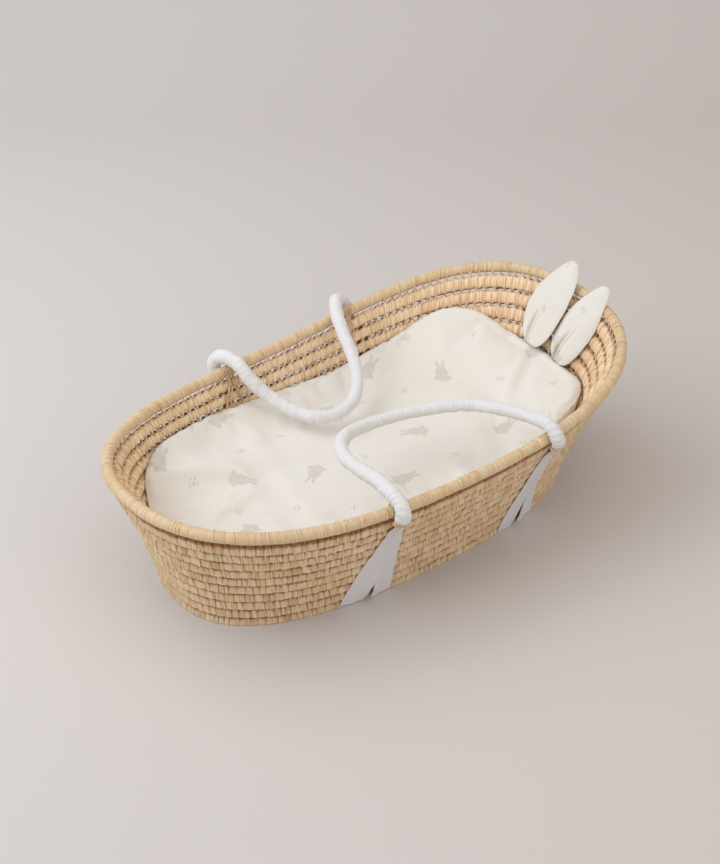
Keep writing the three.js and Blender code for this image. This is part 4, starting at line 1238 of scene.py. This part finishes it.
def motif_layers(me, flat):
    """flat: each vertex's place in the cloth's flat pattern, in mm. Writes UVMap in metres, and for each face its place in the nearest motif's own axes, in centimetres."""
    nl = len(me.loops)
    vi = np.empty(nl, np.int32)
    me.loops.foreach_get("vertex_index", vi)
    uv = flat[vi] / 1000.0
    lt = np.empty(len(me.polygons), np.int32)
    me.polygons.foreach_get("loop_total", lt)
    fi = np.repeat(np.arange(len(lt)), lt)
    cx = np.bincount(fi, uv[:, 0]) / lt
    cy = np.bincount(fi, uv[:, 1]) / lt
    layer = me.uv_layers.new(name="UVMap")
    layer.data.foreach_set("uv", uv.astype(np.float32).ravel())
    for name, motifs in (("rabbit", RABBITS), ("sprig", SPRIGS)):
        M = np.array(motifs, float)
        d = (cx[:, None] - M[None, :, 0]) ** 2 + (cy[:, None] - M[None, :, 1]) ** 2
        near = M[np.argmin(d, 1)][fi]
        dx, dy = uv[:, 0] - near[:, 0], uv[:, 1] - near[:, 1]
        a = np.radians(near[:, 2])
        lx = dx * np.cos(a) + dy * np.sin(a)
        ly = -dx * np.sin(a) + dy * np.cos(a)
        layer = me.uv_layers.new(name=name)
        layer.data.foreach_set("uv", (np.stack([lx, ly], 1) * 100).astype(np.float32).ravel())


def print_nodes(m, obj, uv, col):
    rab = m.n("UVMap", uv_map="rabbit").outputs[0]
    spr = m.n("UVMap", uv_map="sprig").outputs[0]
    wob = m.n("TexNoise", {"Scale": 420.0, "Detail": 2.0, "Roughness": 0.6})
    m.put(wob.inputs["Vector"], uv)
    jit = m.vmath("MULTIPLY", m.vmath("SUBTRACT", wob.outputs["Color"], (0.5, 0.5, 0.5)), (0.10, 0.10, 0.0))
    rab = m.vmath("ADD", rab, jit)
    spr = m.vmath("ADD", spr, jit)

    def ell(p, cx, cy, rx, ry, ang=0.0, soft=0.16):
        q = m.vmath("SUBTRACT", p, (cx, cy, 0))
        if ang:
            q = m.n("VectorRotate", {"Vector": q, "Angle": math.radians(-ang)}, rotation_type="Z_AXIS").outputs[0]
        d = m.vmath("LENGTH", m.vmath("MULTIPLY", q, (1 / rx, 1 / ry, 0)))
        return m.n("MapRange", {0: d, 1: 1 + soft, 2: 1 - soft, 3: 0.0, 4: 1.0}).outputs[0]

    def union(masks):
        out = masks[0]
        for x in masks[1:]:
            out = m.math("MAXIMUM", out, x)
        return out

    # a plain sitting rabbit, pointing along +x: body, head, ears, feet
    body = union([ell(rab, -0.85, 0.0, 1.05, 0.92), ell(rab, -0.95, 0.85, 0.42, 0.62, 20), ell(rab, -0.95, -0.85, 0.42, 0.62, -20), ell(rab, 0.58, 0.0, 0.74, 0.86), ell(rab, -0.05, 0.62, 0.30, 0.52, -25), ell(rab, -0.05, -0.62, 0.30, 0.52, 25)])
    ears = union([ell(rab, 1.75, 0.38, 0.85, 0.28, 10), ell(rab, 1.72, -0.40, 0.85, 0.28, -14)])
    inner = union([ell(rab, 1.78, 0.39, 0.62, 0.13, 10, 0.3), ell(rab, 1.75, -0.41, 0.62, 0.13, -14, 0.3)])
    feet = union([ell(rab, -1.15, 1.15, 0.24, 0.24, 30, 0.3), ell(rab, -1.15, -1.15, 0.24, 0.24, -30, 0.3), ell(rab, -0.9, 0.0, 0.5, 0.42, 0, 0.5)])
    tone = m.noise(m.scaled(uv, (260, 260, 0)), 1.0, 3.0, 0.6, "2D")
    k = m.math("MULTIPLY_ADD", tone, 0.7, 0.42, clamp=True)
    sage, pink, rose, leaf = srgb(213, 210, 198), srgb(229, 217, 207), srgb(222, 188, 180), srgb(205, 204, 188)
    col = m.mix(m.math("MULTIPLY", union([body, ears]), k), col, sage)
    col = m.mix(m.math("MULTIPLY", union([inner, feet]), k), col, pink)
    # a small sprig: blossoms and leaves
    buds = union([ell(spr, 0.0, 0.0, 0.17, 0.17, 0, 0.3), ell(spr, 0.52, 0.30, 0.14, 0.15, 0, 0.3), ell(spr, 0.62, -0.22, 0.15, 0.13, 0, 0.3), ell(spr, -0.48, 0.24, 0.13, 0.14, 0, 0.3), ell(spr, 0.1, 0.52, 0.11, 0.12, 0, 0.3)])
    leaves = union([ell(spr, 0.28, 0.08, 0.20, 0.07, 30, 0.3), ell(spr, -0.24, -0.16, 0.20, 0.07, -35, 0.3), ell(spr, -0.62, -0.18, 0.15, 0.07, 40, 0.3), ell(spr, 0.30, -0.40, 0.16, 0.07, -60, 0.3)])
    col = m.mix(m.math("MULTIPLY", buds, k), col, rose)
    col = m.mix(m.math("MULTIPLY", leaves, k), col, leaf)
    return col


COVER = fabric_material("cover_cotton", srgb(244, 241, 234), srgb(236, 231, 223), weave=4200, print_fn=print_nodes)
build_cover()


# ------------------------------------------------------------------ the two stuffed ears
# rows: height up the ear from its base point, its two edges across, and its thickness
EARS = dict(
    rear_ear=dict(base=[349, 43, 166], tip=[396, 12, 291], flat=(2.0, 0.0), fold=0.12, seed=71,
                  rows=[[-7, 6, -23, 3.5], [-4.5, 11, -28, 5.5], [-2, 14, -30.5, 7], [0, 16, -32, 8], [6, 20, -35, 9], [18, 26.5, -40, 10], [32, 31.5, -42.5, 11.5], [44, 34.3, -43, 12], [58, 35, -43, 12.5], [70, 33.6, -43, 12.5], [84, 30.8, -42.5, 12.3],
                        [97, 26.9, -39.5, 12], [108, 22.6, -36.6, 11.5], [118.5, 17.8, -32.2, 10.4], [128, 13, -27, 9], [135.7, 8.6, -21.6, 7.6], [141.0, 5.2, -17.6, 6], [144.6, 2.0, -14, 4.4], [146, -2, -9.5, 2.6]]),
    front_ear=dict(base=[349, -21, 162], tip=[393, -58, 284], flat=(3.0, 0.0), fold=0.1, seed=72,
                   rows=[[-7, 5, -20, 3.5], [-4.5, 9.5, -25, 5.5], [-2, 12.5, -28, 7], [0, 14.5, -29.5, 8], [6, 17.4, -32.6, 9], [18, 22.2, -37.4, 10], [30, 24, -40.6, 11.3], [42, 24.4, -42.6, 12], [57, 24, -43.6, 12.5], [68, 22.9, -43.7, 12.5], [81, 20.4, -43.1, 12.3],
                         [92, 17.6, -39.6, 12], [102.6, 14.4, -36.4, 11.4], [113, 10.2, -32.4, 10.4], [123.5, 5.6, -28.4, 9.2], [131.5, 1.2, -24.8, 8], [137, -2.4, -22, 6.6], [140.8, -5.8, -19, 4.8], [142.4, -9.5, -15, 2.6]]),
)


def build_ear(name, e):
    rng = np.random.default_rng(e["seed"])
    B, T = np.array(e["base"], float), np.array(e["tip"], float)
    up = T - B
    up /= np.linalg.norm(up)
    ac = np.array([0.12, 1.0, 0.0])
    ac -= up * (ac @ up)
    ac /= np.linalg.norm(ac)
    out = np.cross(ac, up)
    rows = np.array(e["rows"], float)
    # arc parameter so the rounded tip gets enough rings
    k = np.r_[0, np.cumsum(np.hypot(np.diff(rows[:, 0]), 0.6 * np.diff(rows[:, 1] - rows[:, 2])))]
    nr, n = 150, 176
    q = np.linspace(0, k[-1], nr)
    s, l, r, th = [np.interp(q, k, rows[:, c]) for c in range(4)]
    th = th * 0.78
    sm = smooth_line(np.stack([s, l, r], 1), 4)
    s, l, r = sm[:, 0], sm[:, 1], sm[:, 2]
    th = smooth_line(np.stack([th] * 3, 1), 4)[:, 0] / 2
    L = s[-1] - s[0]
    a = np.arange(n) / n * 2 * np.pi
    S, A = np.meshgrid((s - s[0]) / L, a, indexing="ij")
    ca, sa = np.cos(A), np.sin(A)
    mid, hw = (l + r)[:, None] / 2, (l - r)[:, None] / 2
    across = mid + hw * np.sign(ca) * np.abs(ca) ** 0.88
    c = np.sign(ca) * np.abs(ca) ** 0.88
    thick = th[:, None] * np.sign(sa) * np.abs(sa) ** 1.05
    mm = S * L
    # little pulls beside the seam
    thick += 0.22 * np.sin(mm / 5.6 * 2 * np.pi + 2) * np.abs(c) ** 5 * (1 - c ** 2) ** 0.25 * np.sign(sa)
    # the base is pinched into a fold that dies out a third of the way up
    pl = 1 - smoothstep(30, 64, mm)
    f0 = e["fold"] + 0.06 * np.sin(mm / 17)
    pleat = -10.5 * pl * np.exp(-((c - f0) / 0.055) ** 2) - 3.6 * (1 - smoothstep(40, 84, mm)) * np.exp(-((c - f0 + 0.26) / 0.09) ** 2)
    bank = 3.4 * pl * (np.exp(-((c - f0 + 0.2) / 0.16) ** 2) + np.exp(-((c - f0 - 0.15) / 0.08) ** 2))
    face = np.where(sa * SIGN_OUT > 0, 1.0, 0.25)
    thick = thick + (pleat + bank) * SIGN_OUT * face
    thick += noise2(rng, S, A, 9, 6, 0.7)
    # the whole pad bows a little round its length and curls back at the tip
    bow = -SIGN_OUT * (2.2 * c ** 2) - SIGN_OUT * 5.0 * smoothstep(0.3, 1.0, S) ** 2 + SIGN_OUT * 1.5 * np.sin(np.pi * S)
    P = B + up * s[:, None, None] + ac * across[..., None] + out * (thick + bow)[..., None]
    V = P.reshape(-1, 3)
    F = [tuple(f) for f in grid_faces(nr, n, True)]
    V = np.vstack([V, [P[0].mean(0), P[-1].mean(0)]])
    c0, c1 = len(V) - 2, len(V) - 1
    F += [((i + 1) % n, i, c0) for i in range(n)]
    F += [((nr - 1) * n + i, (nr - 1) * n + (i + 1) % n, c1) for i in range(n)]
    me = bpy.data.meshes.new(name)
    me.from_pydata([tuple(x) for x in (V + SHIFT) * MM], [], F)
    me.polygons.foreach_set("use_smooth", np.ones(len(me.polygons), bool))
    me.materials.append(COVER)
    fu = across + np.where(sa * SIGN_OUT > 0, 0, 300.0)
    flat = np.stack([e["flat"][0] * 1000 + fu, np.broadcast_to(s[:, None], fu.shape)], -1).reshape(-1, 2)
    flat = np.vstack([flat, flat[:n].mean(0), flat[-n:].mean(0)])
    motif_layers(me, flat)
    o = bpy.data.objects.new(name + "_cloth", me)
    bpy.context.scene.collection.objects.link(o)
    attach(o, name)
    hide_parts(name)
    # a raised seam line round the edge
    k = np.arange(8, nr - 2)
    line = [P[i, 0] for i in k[::4]] + [P[-1].mean(0)] + [P[i, n // 2] for i in k[::-4]]
    seam = tube(name + "_seam", line, 0.75, body=name, material=SEAM, step=1.2, around=8, seed=3, attrs=False, smooth=3)


SIGN_OUT = -1.0
SEAM = fabric_material("cover_seam", srgb(246, 242, 234), srgb(234, 228, 218), weave=4200, coords="UV")
for _n, _e2 in EARS.items():
    build_ear(_n, _e2)

# ------------------------------------------------------------------ floor, backdrop and light
def stage_material(name, color, rough=0.75):
    m = Nodes(name)
    obj = m.n("TexCoord").outputs["Object"]
    f = m.noise(obj, 3.0, 3.0, 0.5)
    c = m.mix(m.math("MULTIPLY_ADD", m.math("SUBTRACT", f, 0.5), 0.12, 0.5), tuple(x * 0.97 for x in color[:3]) + (1,), tuple(min(1, x * 1.03) for x in color[:3]) + (1,))
    m.put(m.bsdf.inputs["Base Color"], c)
    m.bsdf.inputs["Roughness"].default_value = rough
    m.bsdf.inputs["Specular IOR Level"].default_value = 0.15
    return m.m


FLOOR = stage_material("floor_matt", srgb(216, 210, 206))


def build_stage():
    # a floor that turns up into a backdrop behind the basket, as seen from the camera
    d = np.array([-BACK[0], -BACK[1]])
    d /= np.linalg.norm(d)
    side = np.array([d[1], -d[0]])
    prof = [(-16000, 0), (1500, 0)]
    for j in range(1, 17):
        a = math.pi / 2 * j / 16
        prof.append((1500 + 1200 * math.sin(a), 1200 * (1 - math.cos(a))))
    prof.append((2700, 9000))
    V, F = [], []
    for k, (x, z) in enumerate(prof):
        for w in (-16000, 16000):
            V.append((d[0] * x + side[0] * w, d[1] * x + side[1] * w, z))
    for k in range(len(prof) - 1):
        F.append((2 * k, 2 * k + 1, 2 * k + 3, 2 * k + 2))
    o = make_mesh("stage_floor", np.array(V) - SHIFT, np.array(F), body=None, material=FLOOR)


build_stage()


def area(name, at, aim, size, watts, color=(1, 1, 1), spread=None):
    l = bpy.data.lights.new(name, "AREA")
    l.shape = "RECTANGLE"
    l.size, l.size_y = size
    l.energy = watts
    l.color = color
    o = bpy.data.objects.new(name, l)
    bpy.context.scene.collection.objects.link(o)
    o.location = Vector(at)
    o.rotation_mode = "QUATERNION"
    o.rotation_quaternion = (Vector(aim) - Vector(at)).to_track_quat("-Z", "Y")
    return o


def around(az, el, dist, z=0.1):
    """a point round the basket: az in degrees from the view direction, positive to the right of the camera"""
    a = math.radians(AZ + az)
    e = math.radians(el)
    return (math.sin(a) * math.cos(e) * dist, -math.cos(a) * math.cos(e) * dist, math.sin(e) * dist + z)


LIGHTS = [
    ("key", around(-118, 48, 2.6), 1.6, 16.2, (0.84, 0.905, 1.0)),
    ("left", around(-70, 38, 2.6), 1.6, 20.0, (0.88, 0.94, 1.0)),
    ("top", (0.0, 0.2, 2.6), 2.4, 8.0, (1.0, 0.92, 0.82)),
    ("fill", around(50, 35, 3.0), 2.2, 10.5, (1.0, 0.89, 0.80)),
]
WORLD = (0.60, 0.595, 0.59)
for _name, _at, _size, _watts, _color in LIGHTS:
    if _watts > 0:
        area(_name, _at, (0, 0, 0.1), (_size, _size), _watts, _color)
world = bpy.data.worlds.new("world")
bpy.context.scene.world = world
bpy.context.scene.view_settings.view_transform = "Standard"
world.use_nodes = True
bg = world.node_tree.nodes["Background"]
bg.inputs[0].default_value = (*WORLD, 1)
bg.inputs[1].default_value = 1.0
